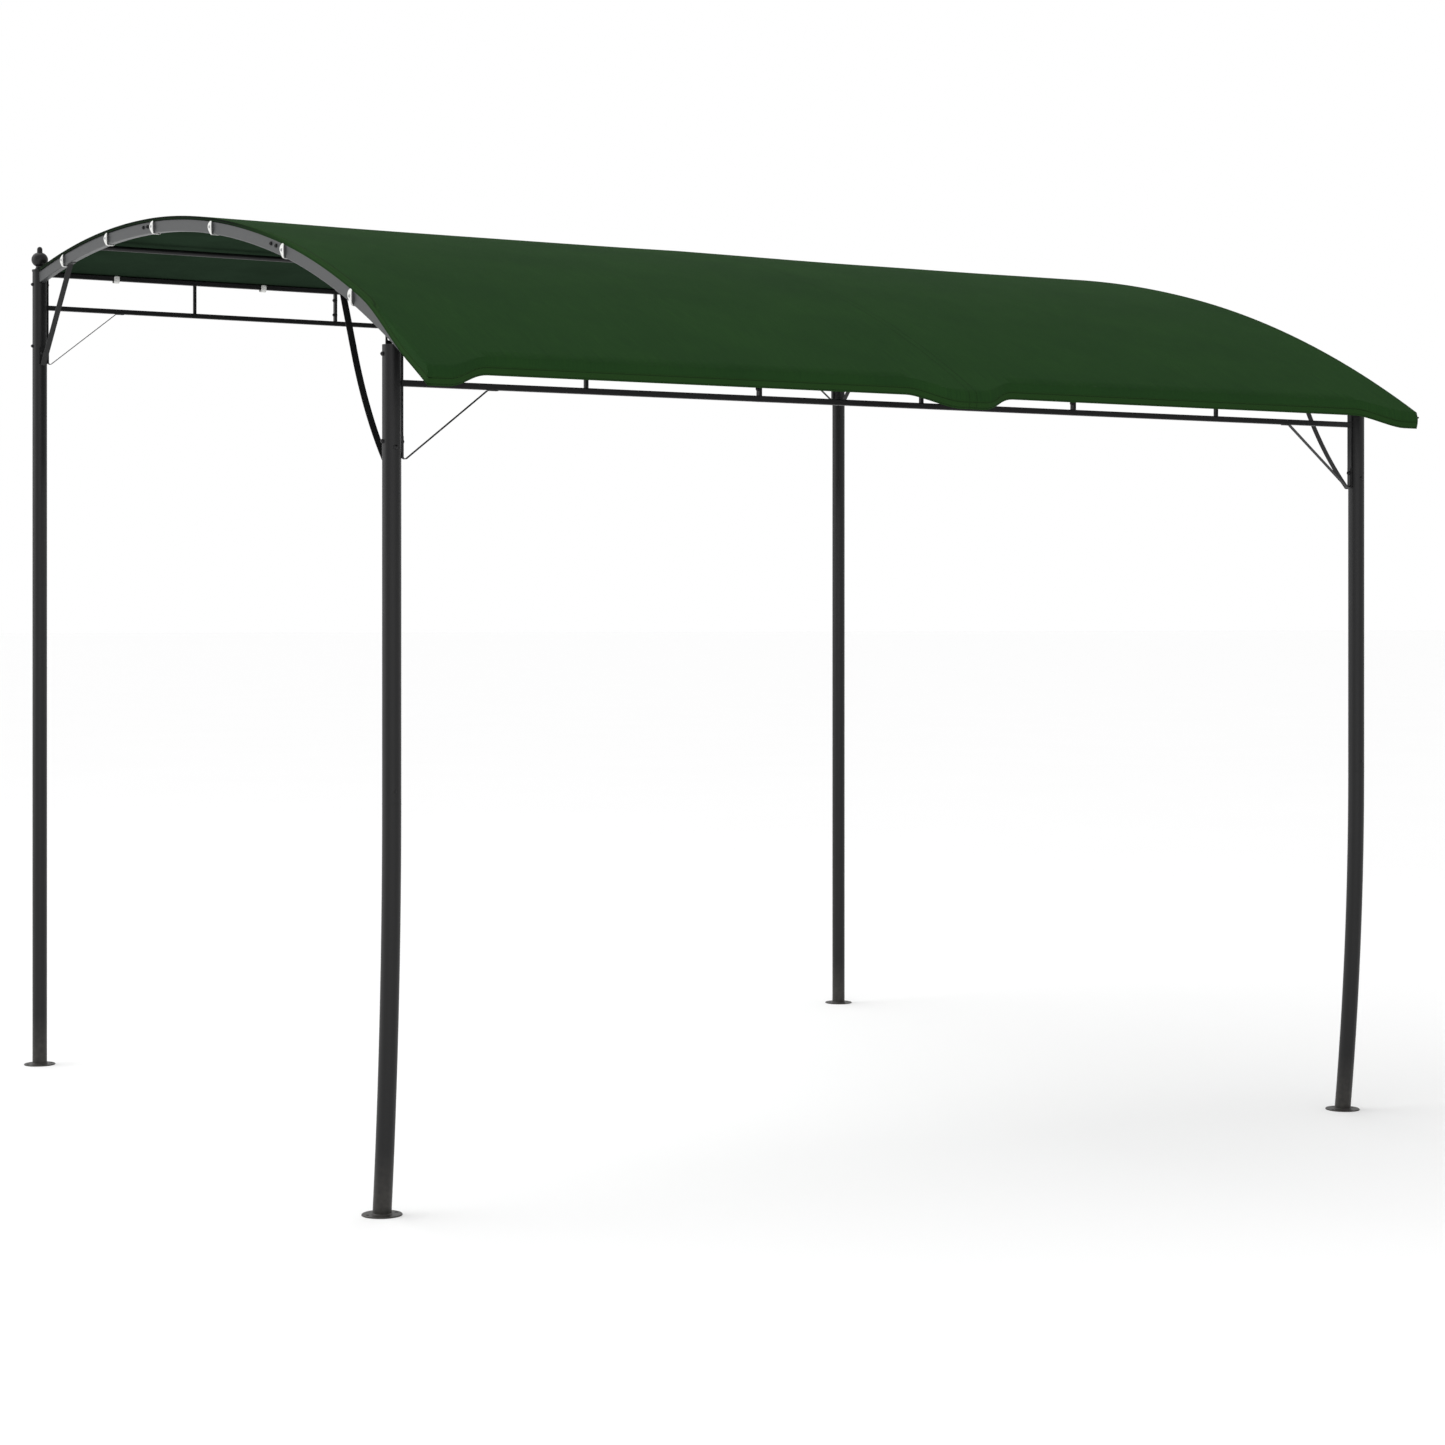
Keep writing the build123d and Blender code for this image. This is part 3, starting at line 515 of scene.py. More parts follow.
def material_named(name):
    """The finish of that name, made the first time it is asked for."""
    made = bpy.data.materials.get(name)
    if made:
        return made
    finish = bpy.context.scene.awning_finish
    makers = {
        "charcoal_powder_coat": lambda: powder_coat(name, finish.post_coat, 0.42, 0.3),
        # painted light: the arches get a lighter copy of the frame's powder coat
        "grey_powder_coat": lambda: powder_coat(name, finish.arch_coat_painted_light, 0.38, 0.5),
        "blackened_steel": lambda: black_steel(name, finish.bolt_coat),
        "nickel_plate": lambda: nickel(name, finish.snap),
        "moulded_polypropylene": lambda: moulded_plastic(name, finish.plug),
        "coated_polyester_cloth": lambda: roof_cloth(name, finish),
        "coated_cloth_underside": lambda: cloth_underside(name, finish.cloth_under),
        "polypropylene_webbing": lambda: webbing(name, finish.webbing),
        "painted_floor": lambda: studio_floor(name, finish.floor),
    }
    return makers[name]()


# ---- shared steps ---------------------------------------------------------------------------
def finish_piece(bm, name, material, nodes=(), flat=False):
    """Makes the mesh a piece that rides on the frame and stands for the CAD nodes named."""
    mesh = bpy.data.meshes.new(name)
    bm.to_mesh(mesh)
    bm.free()
    piece = bpy.data.objects.new(name, mesh)
    bpy.context.scene.collection.objects.link(piece)
    mesh.materials.append(material_named(material))
    if not flat:
        mesh.shade_smooth()
    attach(piece, "root")
    if nodes:
        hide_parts(*nodes)
    return piece


def edges_of(geometry):
    return [item for item in geometry if isinstance(item, bmesh.types.BMEdge)]


def verts_of(geometry):
    return [item for item in geometry if isinstance(item, bmesh.types.BMVert)]


def turned_ring(bm, profile, matrix, sides):
    """Spins a profile of (radius, height) points about the local Z axis."""
    verts = [bm.verts.new((radius, 0.0, height)) for radius, height in profile]
    edges = [bm.edges.new(pair) for pair in zip(verts, verts[1:])]
    done = bmesh.ops.spin(bm, geom=verts + edges, cent=(0, 0, 0), axis=(0, 0, 1),
                          angle=math.tau, steps=sides, use_merge=True, use_duplicate=False)
    made = set(verts)
    for edge in edges_of(done["geom_last"]):
        made.update(edge.verts)
    grown = set(made)
    stack = list(made)
    while stack:
        vert = stack.pop()
        for edge in vert.link_edges:
            other = edge.other_vert(vert)
            if other not in grown:
                grown.add(other)
                stack.append(other)
    bmesh.ops.remove_doubles(bm, verts=list(grown), dist=1e-6)
    kept = [vert for vert in grown if vert.is_valid]
    faces = {face for vert in kept for face in vert.link_faces}
    bmesh.ops.recalc_face_normals(bm, faces=list(faces))
    bmesh.ops.transform(bm, matrix=matrix, verts=kept)
    return kept


# ---- the roof -------------------------------------------------------------------------------
def roof_columns(settings, half):
    """X places of the mesh columns: close together near each arch, wide apart between."""
    reach = settings.tongue_half
    near = round(reach / settings.fine)
    columns = {sign * x for sign in (-1, 1)
               for x in (half, HALF_SPAN - settings.notch_side)}
    for axis in ARCH_XS:
        for step in range(-near, near + 1):
            x = axis + step * reach / near
            if abs(x) < half - settings.fine / 3:
                columns.add(x)
    gap = HALF_SPAN - 2 * reach
    count = round(gap / settings.coarse)
    for step in range(1, count):
        x = reach + step * gap / count
        columns.update((x, -x))
    ordered = sorted(columns)
    return [x for index, x in enumerate(ordered)
            if index == 0 or x - ordered[index - 1] > settings.fine / 6]


def tongue_share(settings, x):
    """One over an arch end, falling smoothly to zero at the tongue's sides."""
    away = min(abs(x), abs(HALF_SPAN - abs(x)))
    if abs(x) > HALF_SPAN:
        away = 0.0
    return 1.0 - smooth(settings.tongue_flat, settings.tongue_half, away)


def bay_share(x):
    """Zero over an arch and one half-way between two arches."""
    t = abs(x) / HALF_SPAN
    return max(0.0, 4 * t * (1 - t))


def extruded(bm, edges, step, times):
    """Extrudes edges several times. `step` moves one new vertex and returns nothing."""
    row = edges
    for _ in range(times):
        grown = bmesh.ops.extrude_edge_only(bm, edges=row)["geom"]
        moved = set(verts_of(grown))
        for vert in moved:
            step(vert)
        row = [edge for edge in edges_of(grown) if set(edge.verts) <= moved]
    return row


class AWNING_OT_roof(bpy.types.Operator):
    """One taut cloth over the arches, folded down at the sides and along the scalloped front"""

    bl_idname = "awning.roof"
    bl_label = "Cloth roof"
    fold_rows = 6

    def execute(self, context):
        settings = context.scene.awning_roof
        arcs = roof_arcs(settings)
        half = HALF_SPAN + TUBE_HALF + settings.overhang
        bm = bmesh.new()
        across = bm.verts.layers.float.new("across")
        along = bm.verts.layers.float.new("along")
        self.row_layer = bm.verts.layers.float.new("fold_row")
        self.depth_layer = bm.verts.layers.float.new("depth")
        first = self.first_row(bm, settings, arcs[0], half)
        hem_row = self.sweep(bm, settings, arcs, first)
        self.rear_strip(bm, settings, arcs[0], first)
        self.tongues(bm, settings, arcs[2], hem_row)
        bmesh.ops.remove_doubles(bm, verts=bm.verts, dist=2e-5)
        self.settle(bm, settings, arcs)
        self.lay_out(bm, arcs, across, along)
        self.side_folds(bm, settings, half, across)
        self.front_fold(bm, settings, along)
        self.rear_fold(bm, settings, along)
        bmesh.ops.remove_doubles(bm, verts=bm.verts, dist=2e-5)
        self.measure(bm, across, along)
        bmesh.ops.recalc_face_normals(bm, faces=bm.faces)
        if sum(face.normal.z for face in bm.faces) < 0:
            bmesh.ops.reverse_faces(bm, faces=bm.faces)
        area = sum(face.calc_area() for face in bm.faces)
        piece = finish_piece(bm, "cloth_roof", "coated_polyester_cloth",
                             ["canopy"])
        wall = piece.modifiers.new("cloth thickness", "SOLIDIFY")
        wall.thickness = settings.cloth
        wall.offset = 0.0
        piece.data.materials.append(material_named("coated_cloth_underside"))
        wall.material_offset = 1
        return {"FINISHED"}

    def first_row(self, bm, settings, arc, half):
        """The row of vertices just in front of the rear posts."""
        angle = arc.angle(REAR_Y - settings.notch_depth)
        radius = arc.radius + settings.lift
        y, z = arc.y - radius * math.sin(angle), arc.z + radius * math.cos(angle)
        verts = [bm.verts.new((x, y, z)) for x in roof_columns(settings, half)]
        return [bm.edges.new(pair) for pair in zip(verts, verts[1:])]

    def spun(self, bm, row, arc, turn, steps):
        """Carries a row along one arc and gives the new row's edges."""
        verts = list({vert for edge in row for vert in edge.verts})
        done = bmesh.ops.spin(bm, geom=verts + row, cent=(0, arc.y, arc.z), axis=(1, 0, 0),
                              angle=turn, steps=steps, use_duplicate=False)
        return edges_of(done["geom_last"])

    def sweep(self, bm, settings, arcs, row):
        """Carries the first row forward along the three arcs to the front hem."""
        for index, arc in enumerate(arcs):
            start = arc.angle(REAR_Y - settings.notch_depth) if index == 0 else arc.start
            end = arc.angle(REAR_Y - settings.front_hem) if index == 2 else arc.end
            steps = round(arc.radius * (end - start) / settings.row)
            row = self.spun(bm, row, arc, end - start, steps)
        return row

    def rear_strip(self, bm, settings, arc, first):
        """Carries the row back over the rear rail, between the posts."""
        inside = HALF_SPAN - settings.notch_side + 1e-4
        row = [e for e in first if max(abs(v.co.x) for v in e.verts) <= inside]
        back = arc.angle(REAR_Y + settings.rear_hem)
        self.spun(bm, row, arc, back - arc.angle(REAR_Y - settings.notch_depth), 3)

    def tongues(self, bm, settings, arc, hem_row):
        """Lets the cloth run on over each arch end, narrowing smoothly."""
        row = [e for e in hem_row
               if max(tongue_share(settings, v.co.x) for v in e.verts) > 0]
        hem = arc.angle(REAR_Y - settings.front_hem)
        end = arc.angle(REAR_Y - settings.tongue_end)
        before = set(bm.verts)
        self.spun(bm, row, arc, end - hem, 5)
        for vert in set(bm.verts) - before:
            angle = math.atan2(arc.y - vert.co.y, vert.co.z - arc.z)
            turn = (hem - angle) * (1.0 - tongue_share(settings, vert.co.x))
            centre = Vector((vert.co.x, arc.y, arc.z))
            vert.co = centre + Matrix.Rotation(turn, 3, "X") @ (vert.co - centre)

    def settle(self, bm, settings, arcs):
        """A slight dip between the arches and faint waves."""
        for vert in bm.verts:
            bay = bay_share(vert.co.x)
            angle = arc_of(arcs, vert.co.y)[1]
            outward = Vector((0, -math.sin(angle), math.cos(angle)))
            inner = smooth(0.0, 0.5, REAR_Y - vert.co.y) * \
                smooth(0.0, 0.5, vert.co.y - REAR_Y + settings.tongue_end)
            spot = Vector((vert.co.x * 2.6, vert.co.y * 1.7, 0.3))
            wave = noise.noise(spot) * min(1.0, bay * 3) * settings.wrinkle
            vert.co += outward * inner * (wave - bay * settings.sag)

    def lay_out(self, bm, arcs, across, along):
        """Gives each vertex its place on the flat cloth, in metres."""
        run = -arcs[0].radius * arcs[0].start
        starts = []
        for arc in arcs:
            starts.append(run - arc.radius * arc.start)
            run += arc.radius * (arc.end - arc.start)
        for vert in bm.verts:
            arc, angle = arc_of(arcs, vert.co.y)
            vert[self.depth_layer] = REAR_Y - vert.co.y
            vert[across] = vert.co.x
            vert[along] = starts[arcs.index(arc)] + arc.radius * angle

    def swell(self, settings, vert, share):
        """Counts a fold's rows and moves the vertex out or in with the swell of its row."""
        vert[self.row_layer] += 1.0
        now = vert[self.row_layer] * math.pi / self.fold_rows
        before = now - math.pi / self.fold_rows
        vert.co.y -= (math.sin(now) - math.sin(before)) * settings.swell * share

    def front_fold(self, bm, settings, along):
        """Hangs the front edge straight down, with a slight swell half-way."""
        def lower(vert):
            share = tongue_share(settings, vert.co.x)
            fall = (settings.front_fold + share * settings.tongue_fold) / self.fold_rows
            vert.co.z -= fall
            vert[along] += fall
            self.swell(settings, vert, 0.4 + 0.6 * share)

        hem_y = REAR_Y - settings.front_hem + 1e-3
        front = [e for e in bm.edges if e.is_boundary
                 and all(v.co.y < hem_y for v in e.verts)
                 and abs(e.verts[0].co.x - e.verts[1].co.x) > 1e-5]
        extruded(bm, front, lower, self.fold_rows)

    def side_folds(self, bm, settings, half, across):
        """Turns the side edges down over the arches' outer faces, deeper at the pockets."""
        full = settings.front_fold + settings.tongue_fold
        for out in (-1, 1):
            def lower(vert):
                depth = vert[self.depth_layer]
                share = smooth(settings.pocket_start, settings.pocket_full, depth)
                fold = settings.side_fold + share * (full - settings.side_fold)
                vert.co.z -= fold / self.fold_rows
                vert[across] += out * fold / self.fold_rows
                self.swell(settings, vert, smooth(settings.tongue_end - settings.hem,
                                                  settings.tongue_end, depth))

            side = [e for e in bm.edges if e.is_boundary
                    and all(abs(v.co.x - out * half) < 1e-5 for v in e.verts)]
            extruded(bm, side, lower, self.fold_rows)

    def rear_fold(self, bm, settings, along):
        """Turns the rear hem down behind the rail."""
        rear = [e for e in bm.edges if e.is_boundary
                and all(v.co.y > REAR_Y + settings.rear_hem - 1e-3 for v in e.verts)]

        def lower(vert):
            vert.co.z -= settings.rear_fold / 2
            vert[along] -= settings.rear_fold / 2

        extruded(bm, rear, lower, 2)

    def measure(self, bm, across, along):
        """Stores the cloth coordinates as a UV map, and the distance to the nearest edge."""
        uv = bm.loops.layers.uv.new("cloth")
        rim = bm.verts.layers.float.new("rim")
        for face in bm.faces:
            for loop in face.loops:
                loop[uv].uv = (loop.vert[across], loop.vert[along])
        reach = 0.12
        cells = {}
        for vert in bm.verts:
            if vert.is_boundary:
                key = (int(vert.co.x // reach), int(vert.co.y // reach))
                cells.setdefault(key, []).append(vert.co.copy())
        for vert in bm.verts:
            column, row = int(vert.co.x // reach), int(vert.co.y // reach)
            near = [co for i in (-1, 0, 1) for j in (-1, 0, 1)
                    for co in cells.get((column + i, row + j), ())]
            vert[rim] = min([(vert.co - co).length for co in near] + [reach])


# ---- straps ---------------------------------------------------------------------------------
def ribbon(bm, path, width_dir, widths, uv):
    """A flat strap: an edge across it, extruded from point to point and scaled to each width."""
    ends = [bm.verts.new(path[0] + width_dir * widths[0] / 2 * side) for side in (-1, 0, 1)]
    row = [bm.edges.new(pair) for pair in zip(ends, ends[1:])]
    run = 0.0
    for index in range(1, len(path)):
        before, after = path[index - 1], path[index]
        grown = bmesh.ops.extrude_edge_only(bm, edges=row)["geom"]
        moved = set(verts_of(grown))
        for vert in moved:
            across = (vert.co - before).dot(width_dir) * widths[index] / widths[index - 1]
            vert.co = after + width_dir * across
        step = (after - before).length
        for face in [item for item in grown if isinstance(item, bmesh.types.BMFace)]:
            for loop in face.loops:
                new = loop.vert in moved
                across = (loop.vert.co - (after if new else before)).dot(width_dir)
                loop[uv].uv = (across, run + (step if new else 0.0))
        run += step
        row = [edge for edge in edges_of(grown) if set(edge.verts) <= moved]


class AWNING_OT_straps(bpy.types.Operator):
    """Webbing loops with snap buttons round the side arches and the rear upper rail"""

    bl_idname = "awning.straps"
    bl_label = "Straps"

    def execute(self, context):
        trim = context.scene.awning_trim
        arcs = roof_arcs(context.scene.awning_roof)
        snaps = []
        for side, out in SIDES:
            bm = bmesh.new()
            uv = bm.loops.layers.uv.new("cloth")
            for low, high in islands("arch_straps_" + side):
                place = (low + high) / 2
                matrix = slope_frame(arcs, HALF_SPAN * out, place.y)
                snaps.append(self.arch_loop(bm, uv, trim, matrix, out))
            self.finish(bm, trim, "straps_" + side, "arch_straps_" + side)
        bm = bmesh.new()
        uv = bm.loops.layers.uv.new("cloth")
        for low, high in islands("rail_straps"):
            self.rail_loop(bm, uv, trim, low, high)
        self.finish(bm, trim, "straps_rear", "rail_straps")
        self.snap_buttons(trim, snaps)
        return {"FINISHED"}

    def finish(self, bm, trim, name, node):
        piece = finish_piece(bm, name, "polypropylene_webbing", [node])
        round_off = piece.modifiers.new("soft bends", "SUBSURF")
        round_off.levels = round_off.render_levels = 2
        wall = piece.modifiers.new("webbing thickness", "SOLIDIFY")
        wall.thickness = trim.strap_cloth
        wall.offset = 0.0

    def arch_loop(self, bm, uv, trim, matrix, out):
        """A leaf-shaped tab that hangs down the outer face, then under the tube and up inside."""
        top = matrix.to_translation()
        stretch = 1 / math.cos(matrix.to_euler().x)
        deep = TUBE_DEEP
        face = TUBE_HALF
        bulge = face + trim.strap_bulge
        profile = [(face + 0.0022, -0.006, 0.5), (bulge - 0.003, -0.0085, 0.78),
                   (bulge - 0.0008, -0.014, 1.22), (bulge, -0.0215, 1.5),
                   (bulge - 0.0008, -0.029, 1.28), (bulge - 0.003, -0.036, 0.82),
                   (face + 0.0028, -0.0405, 0.5), (face - 0.001, -deep - 0.0024, 0.5),
                   (0.0, -deep - 0.0018, 0.5), (0.001 - face, -deep - 0.0024, 0.5),
                   (-face - 0.0022, -deep + 0.003, 0.5), (-face - 0.0020, -0.022, 0.5)]
        path = [top + Vector((out * across, 0, up * stretch)) for across, up, _ in profile]
        widths = [trim.strap_width * share for _, _, share in profile]
        width_dir = (matrix.to_3x3() @ Vector((0, 1, 0))).normalized()
        ribbon(bm, path, width_dir, widths, uv)
        centre = top + Vector((out * (bulge + trim.strap_cloth / 2 - 0.0006), 0,
                               -0.0215 * stretch))
        return centre, out

    def rail_loop(self, bm, uv, trim, low, high):
        """From under the cloth round the rear rail, hanging a little slack below it."""
        centre = (low + high) / 2
        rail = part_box("rear_truss_mid")
        y = (rail[0].y + rail[1].y) / 2
        face = (rail[1].y - rail[0].y) / 2 + 0.0022
        top = rail[1].z + 0.0004
        profile = [(face, top), (face + 0.001, top - 0.009), (face - 0.0005, top - 0.0178),
                   (face - 0.004, top - 0.0215), (0.0, top - 0.0225),
                   (-face + 0.004, top - 0.0215), (-face + 0.0005, top - 0.0178),
                   (-face - 0.001, top - 0.009), (-face, top)]
        path = [Vector((centre.x, y + across, z)) for across, z in profile]
        ribbon(bm, path, Vector((1, 0, 0)), [trim.strap_width] * len(path), uv)

    def snap_buttons(self, trim, places):
        bm = bmesh.new()
        radius = trim.snap_radius
        profile = [(0, 0.0022), (radius * 0.45, 0.0021), (radius * 0.75, 0.0016),
                   (radius * 0.9, 0.0009), (radius, 0.0008), (radius * 1.05, 0.0)]
        for centre, out in places:
            matrix = Matrix.Translation(centre) @ Matrix.Rotation(out * math.pi / 2, 4, "Y")
            turned_ring(bm, profile, matrix, 20)
        finish_piece(bm, "snap_buttons", "nickel_plate")


# ---- bolts ----------------------------------------------------------------------------------
class AWNING_OT_bolts(bpy.types.Operator):
    """Domed bolts with washers and hexagon nuts in place of the plain ones"""

    bl_idname = "awning.bolts"
    bl_label = "Bolts"

    def execute(self, context):
        trim = context.scene.awning_trim
        for node in ("post_bolts", "brace_bolts", "arch_bolts", "truss_bolts"):
            bm = bmesh.new()
            for low, high in islands(node):
                self.bolt(bm, trim, low, high)
            finish_piece(bm, node + "_detailed", "blackened_steel", [node])
        return {"FINISHED"}

    def bolt(self, bm, trim, low, high):
        size = high - low
        centre = (low + high) / 2
        along_x = size.x > size.y
        reach = (size.x if along_x else size.y) / 2
        turn = Matrix.Rotation(math.pi / 2, 4, "Y") if along_x else \
            Matrix.Rotation(math.pi / 2, 4, "X")
        matrix = Matrix.Translation(centre) @ turn
        head, nut = 0.0032, 0.0042
        outer = trim.washer
        top = reach - head
        foot = -reach + nut
        dome = [(0.0, reach), (0.0022, reach - 0.0002), (0.0042, reach - 0.0012),
                (0.0052, reach - 0.0024), (0.0053, top + 0.0002), (outer, top + 0.0002),
                (outer, top - 0.0006), (0.003, top - 0.0006), (0.003, foot + 0.0006),
                (outer, foot + 0.0006), (outer, foot - 0.0002), (0.0, foot - 0.0002)]
        turned_ring(bm, dome, matrix, trim.bolt_sides)
        self.hexagon(bm, matrix, foot - 0.0002, -reach + 0.0006)
        tip = [(0.0029, foot), (0.0029, -reach - 0.001), (0.0022, -reach - 0.0016),
               (0.0, -reach - 0.0016)]
        turned_ring(bm, tip, matrix, 12)

    def hexagon(self, bm, matrix, high, low):
        """A nut: a six-sided block with its corners bevelled."""
        made = bmesh.ops.create_cone(bm, cap_ends=True, cap_tris=False, segments=6,
                                     radius1=0.0056, radius2=0.0056, depth=high - low)
        verts = made["verts"]
        rims = {edge for vert in verts for edge in vert.link_edges}
        done = bmesh.ops.bevel(bm, geom=list(rims), offset=0.0005, offset_type="OFFSET",
                               segments=2, profile=0.5, affect="EDGES", material=-1)
        moved = list({v for face in done["faces"] for v in face.verts})
        every = set(moved)
        for vert in moved:
            for face in vert.link_faces:
                every.update(face.verts)
        place = matrix @ Matrix.Translation((0, 0, (high + low) / 2))
        bmesh.ops.transform(bm, matrix=place, verts=list(every))


# ---- welds, lips, buttons and the corner pin ------------------------------------------------
class AWNING_OT_details(bpy.types.Operator):
    """Weld beads at the feet, joint lips and spring buttons on the posts, a pin at one corner"""

    bl_idname = "awning.details"
    bl_label = "Welds and buttons"

    def execute(self, context):
        trim = context.scene.awning_trim
        self.weld_beads(trim)
        self.joints(trim)
        self.corner_pin(context.scene.awning_roof)
        return {"FINISHED"}

    def weld_beads(self, trim):
        """A rippled bead round the foot of each post."""
        bm = bmesh.new()
        sides = 56
        for end in ("rear", "front"):
            for side, _ in SIDES:
                low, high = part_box("%s_foot_%s" % (end, side))
                centre = (low + high) / 2
                profile = [(POST_R - 0.0004, trim.bead * 1.9), (POST_R + trim.bead * 0.75,
                                                               trim.bead * 1.25),
                           (POST_R + trim.bead * 1.5, 0.0)]
                place = Matrix.Translation((centre.x, centre.y, PLATE_TOP))
                verts = turned_ring(bm, profile, place, sides)
                for vert in verts:
                    away = Vector((vert.co.x - centre.x, vert.co.y - centre.y, 0))
                    ripple = math.sin(math.atan2(away.y, away.x) * sides / 3)
                    height = vert.co.z - PLATE_TOP
                    vert.co += away.normalized() * ripple * 0.0003 * (height > 1e-4)
        finish_piece(bm, "foot_weld_beads", "charcoal_powder_coat")

    def joints(self, trim):
        """A fine rolled lip and a sprung button where two post tubes meet."""
        rings = bmesh.new()
        buttons = bmesh.new()
        for end in ("rear", "front"):
            for side, _ in SIDES:
                low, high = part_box("%s_post_upper_%s" % (end, side))
                centre = (low + high) / 2
                joint = low.z
                lip = [(POST_R - 0.0002, 0.0016), (POST_R + 0.0005, 0.0009),
                       (POST_R + 0.0005, 0.0004), (POST_R - 0.0002, 0.0),
                       (POST_R + 0.0004, -0.0005), (POST_R - 0.0002, -0.0014)]
                turned_ring(rings, lip, Matrix.Translation((centre.x, centre.y, joint)), 48)
                dome = [(0.0, 0.003), (trim.button * 0.5, 0.0026), (trim.button * 0.85, 0.0014),
                        (trim.button, 0.0), (trim.button, -0.002)]
                place = Matrix.Translation((centre.x, centre.y - POST_R + 0.0006,
                                            joint + BUTTON_RISE))
                turned_ring(buttons, dome, place @ Matrix.Rotation(math.pi / 2, 4, "X"), 20)
        finish_piece(rings, "post_joint_lips", "charcoal_powder_coat")
        finish_piece(buttons, "post_spring_buttons", "blackened_steel")

    def corner_pin(self, settings):
        """A turned pin with a washer holds the cloth's pocket at the right-hand arch end."""
        bm = bmesh.new()
        place = Vector((HALF_SPAN + TUBE_HALF + settings.overhang + settings.cloth,
                        REAR_Y - settings.tongue_end + 0.004,
                        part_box("arch_end_plugs")[0].z + TUBE_DEEP / 2))
        matrix = Matrix.Translation(place) @ Matrix.Rotation(math.pi / 2, 4, "Y")
        pin = [(0.0, 0.0125), (0.0016, 0.0121), (0.0026, 0.0104), (0.0020, 0.0062),
               (0.0024, 0.0022), (0.0052, 0.0018), (0.0056, 0.0008), (0.0052, -0.0006),
               (0.0, -0.0006)]
        turned_ring(bm, pin, matrix, 20)
        finish_piece(bm, "pocket_pin", "blackened_steel")


# ---- finishes of the carried-over steelwork -------------------------------------------------
class AWNING_OT_finishes(bpy.types.Operator):
    """Powder coat on the frame, and moulded plastic on the tube ends"""

    bl_idname = "awning.finishes"
    bl_label = "Frame finishes"

    def execute(self, context):
        for name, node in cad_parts.items():
            if name == "arch_end_plugs":
                finish = "moulded_polypropylene"
            elif name.startswith("arch_") and name.split("_")[1] in ("left", "mid", "right"):
                # painted light: the arches take the lighter coat that stands in for light on their
                # outer faces
                finish = "grey_powder_coat"
            elif name.endswith("_bolts"):
                finish = "blackened_steel"
            else:
                finish = "charcoal_powder_coat"
            node.data.materials.clear()
            node.data.materials.append(material_named(finish))
        return {"FINISHED"}


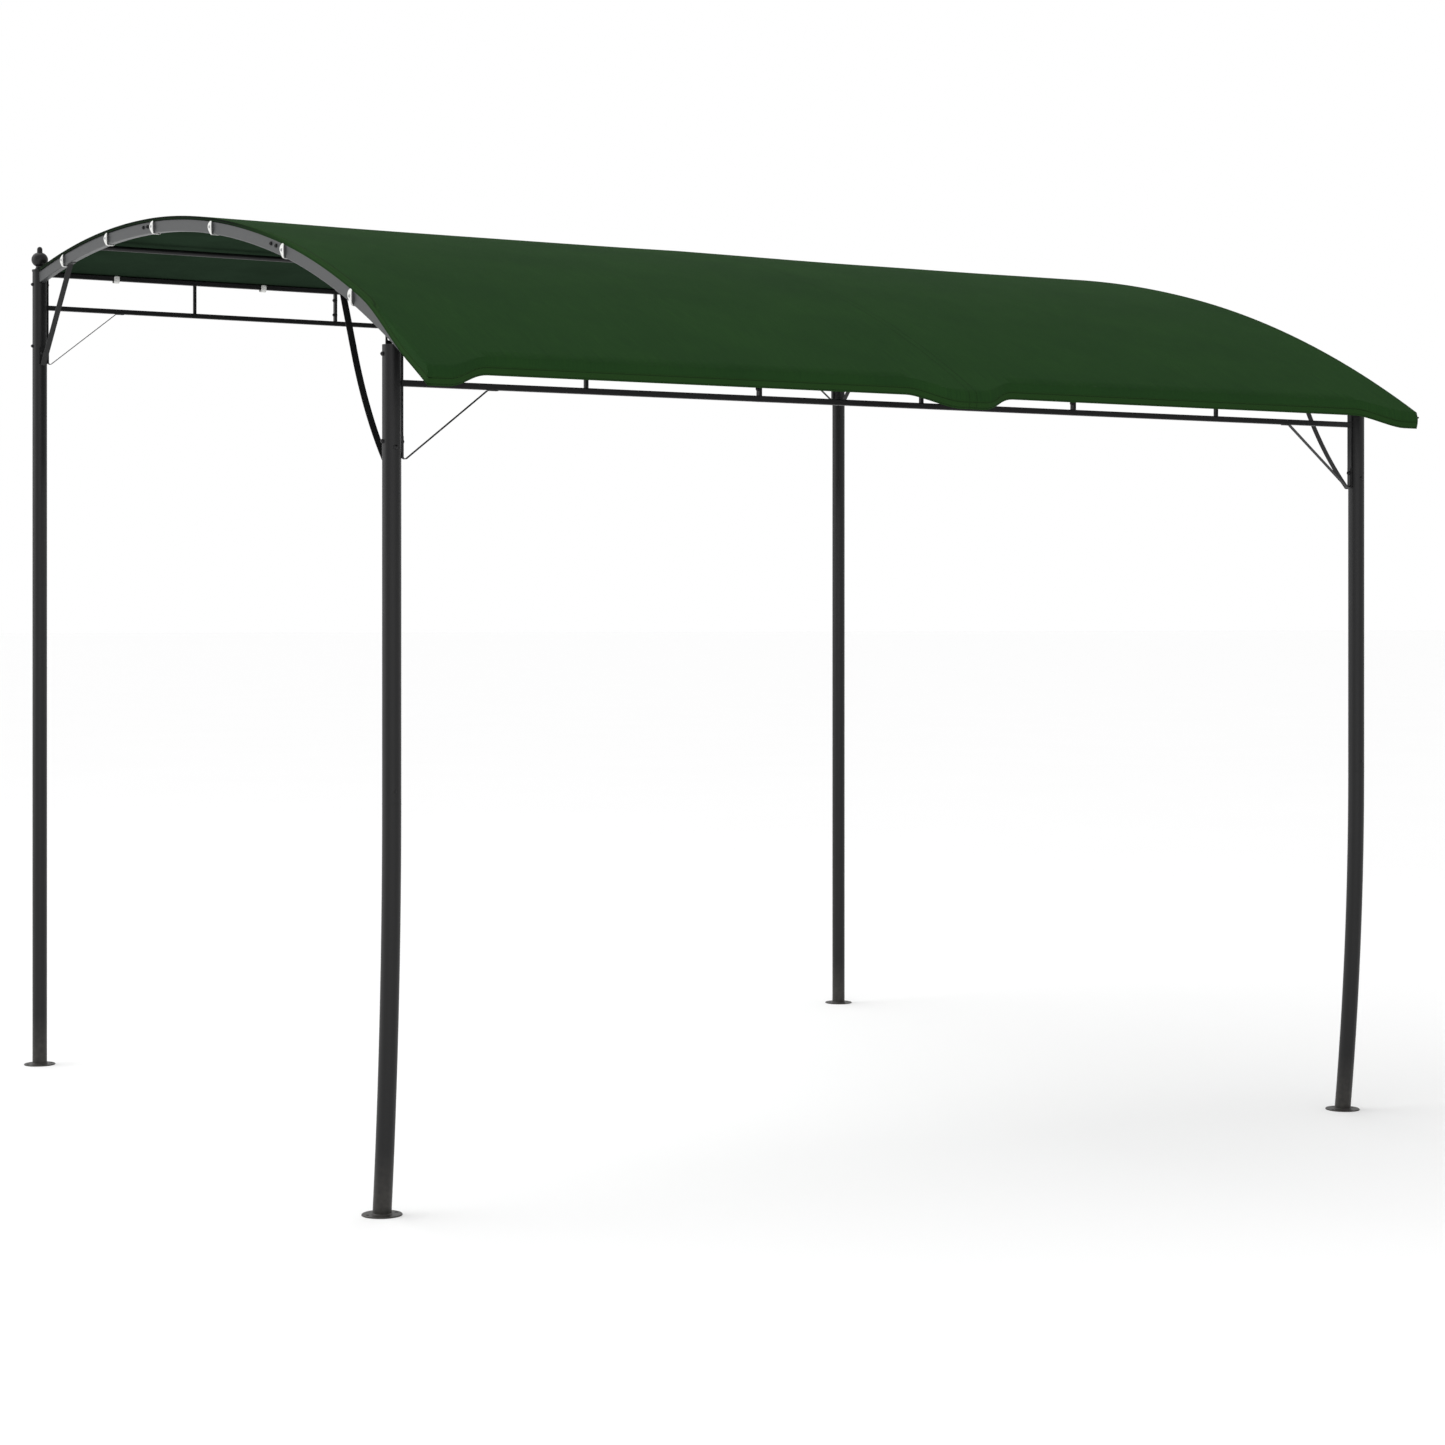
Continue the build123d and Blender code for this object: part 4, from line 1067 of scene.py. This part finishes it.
# ---- stage ----------------------------------------------------------------------------------
class AWNING_OT_stage(bpy.types.Operator):
    """Pale floor, white surround, soft boxes and the camera"""

    bl_idname = "awning.stage"
    bl_label = "Stage"

    def execute(self, context):
        stage = context.scene.awning_stage
        self.floor()
        self.surround(context, stage)
        self.light("top_light", "SUN", (-3.0, 4.0, 8.0), (0, 0, 0), stage.top)
        self.light("side_light", "AREA", (-11.0, 5.0, 4.0), (0, 0, 2.0), stage.side)
        self.light("front_light", "AREA", (-3.0, -9.0, 3.0), (0, -1.4, 2.0), stage.front)
        self.light("floor_light", "AREA", (0, 0, 1.9), (0, 0, 0), stage.floor_fill, (2.6, 2.4))
        self.camera(context, stage)
        return {"FINISHED"}

    def floor(self):
        bm = bmesh.new()
        bmesh.ops.create_grid(bm, x_segments=2, y_segments=2, size=300.0)
        mesh = bpy.data.meshes.new("floor")
        bm.to_mesh(mesh)
        bm.free()
        floor = bpy.data.objects.new("floor", mesh)
        bpy.context.scene.collection.objects.link(floor)
        mesh.materials.append(material_named("painted_floor"))

    def surround(self, context, stage):
        """A white backdrop that lights the scene less than it shows."""
        world = bpy.data.worlds.new("white surround")
        context.scene.world = world
        world.use_nodes = True
        tree = world.node_tree
        backdrop = tree.nodes["Background"]
        backdrop.inputs["Color"].default_value = (1.0, 1.0, 1.0, 1.0)
        seen = add(tree, "ShaderNodeLightPath").outputs["Is Camera Ray"]
        share = add(tree, "ShaderNodeMapRange", {"To Min": stage.sky, "To Max": 1.0},
                    {"Value": seen})
        tree.links.new(share.outputs[0], backdrop.inputs["Strength"])
        context.scene.view_settings.view_transform = "Standard"

    def light(self, name, kind, place, aim, strength, size=(9.0, 6.0)):
        data = bpy.data.lights.new(name, kind)
        data.energy = strength
        if kind == "SUN":
            data.angle = math.radians(75)
        else:
            data.shape = "RECTANGLE"
            data.size, data.size_y = size
        lamp = bpy.data.objects.new(name, data)
        bpy.context.scene.collection.objects.link(lamp)
        lamp.location = place
        lamp.rotation_euler = (Vector(aim) - Vector(place)).to_track_quat("-Z", "Y").to_euler()
        lamp.visible_camera = False

    def camera(self, context, stage):
        lens = bpy.data.cameras.new("view")
        lens.sensor_width = 36.0
        lens.lens = stage.lens
        lens.shift_y = stage.rise
        lens.clip_end = 1000.0
        camera = bpy.data.objects.new("view", lens)
        context.scene.collection.objects.link(camera)
        camera.location = (stage.camera_x, REAR_Y - stage.camera_back, stage.eye_height)
        camera.rotation_euler = (math.pi / 2, 0.0, stage.camera_turn)
        context.scene.camera = camera


# ---- panel and registration -----------------------------------------------------------------
OPERATORS = (AWNING_OT_stage, AWNING_OT_finishes, AWNING_OT_roof, AWNING_OT_straps,
             AWNING_OT_bolts, AWNING_OT_details)
SETTINGS = (("awning_roof", AwningRoofSettings), ("awning_trim", AwningTrimSettings),
            ("awning_finish", AwningFinishSettings), ("awning_stage", AwningStageSettings))


class AWNING_PT_panel(bpy.types.Panel):
    """Lists the awning's pieces in the order in which they are made"""

    bl_label = "Garden Awning"
    bl_space_type = "VIEW_3D"
    bl_region_type = "UI"
    bl_category = "Awning"

    def draw(self, context):
        for operator in OPERATORS:
            self.layout.operator(operator.bl_idname)


def register():
    for name, settings in SETTINGS:
        bpy.utils.register_class(settings)
        setattr(bpy.types.Scene, name, PointerProperty(type=settings))
    for operator in OPERATORS:
        bpy.utils.register_class(operator)
    bpy.utils.register_class(AWNING_PT_panel)


def unregister():
    bpy.utils.unregister_class(AWNING_PT_panel)
    for operator in reversed(OPERATORS):
        bpy.utils.unregister_class(operator)
    for name, settings in reversed(SETTINGS):
        delattr(bpy.types.Scene, name)
        bpy.utils.unregister_class(settings)


def main():
    register()
    bpy.ops.awning.stage()
    bpy.ops.awning.finishes()
    bpy.ops.awning.roof()
    bpy.ops.awning.straps()
    bpy.ops.awning.bolts()
    bpy.ops.awning.details()


if __name__ == "__main__":
    main()
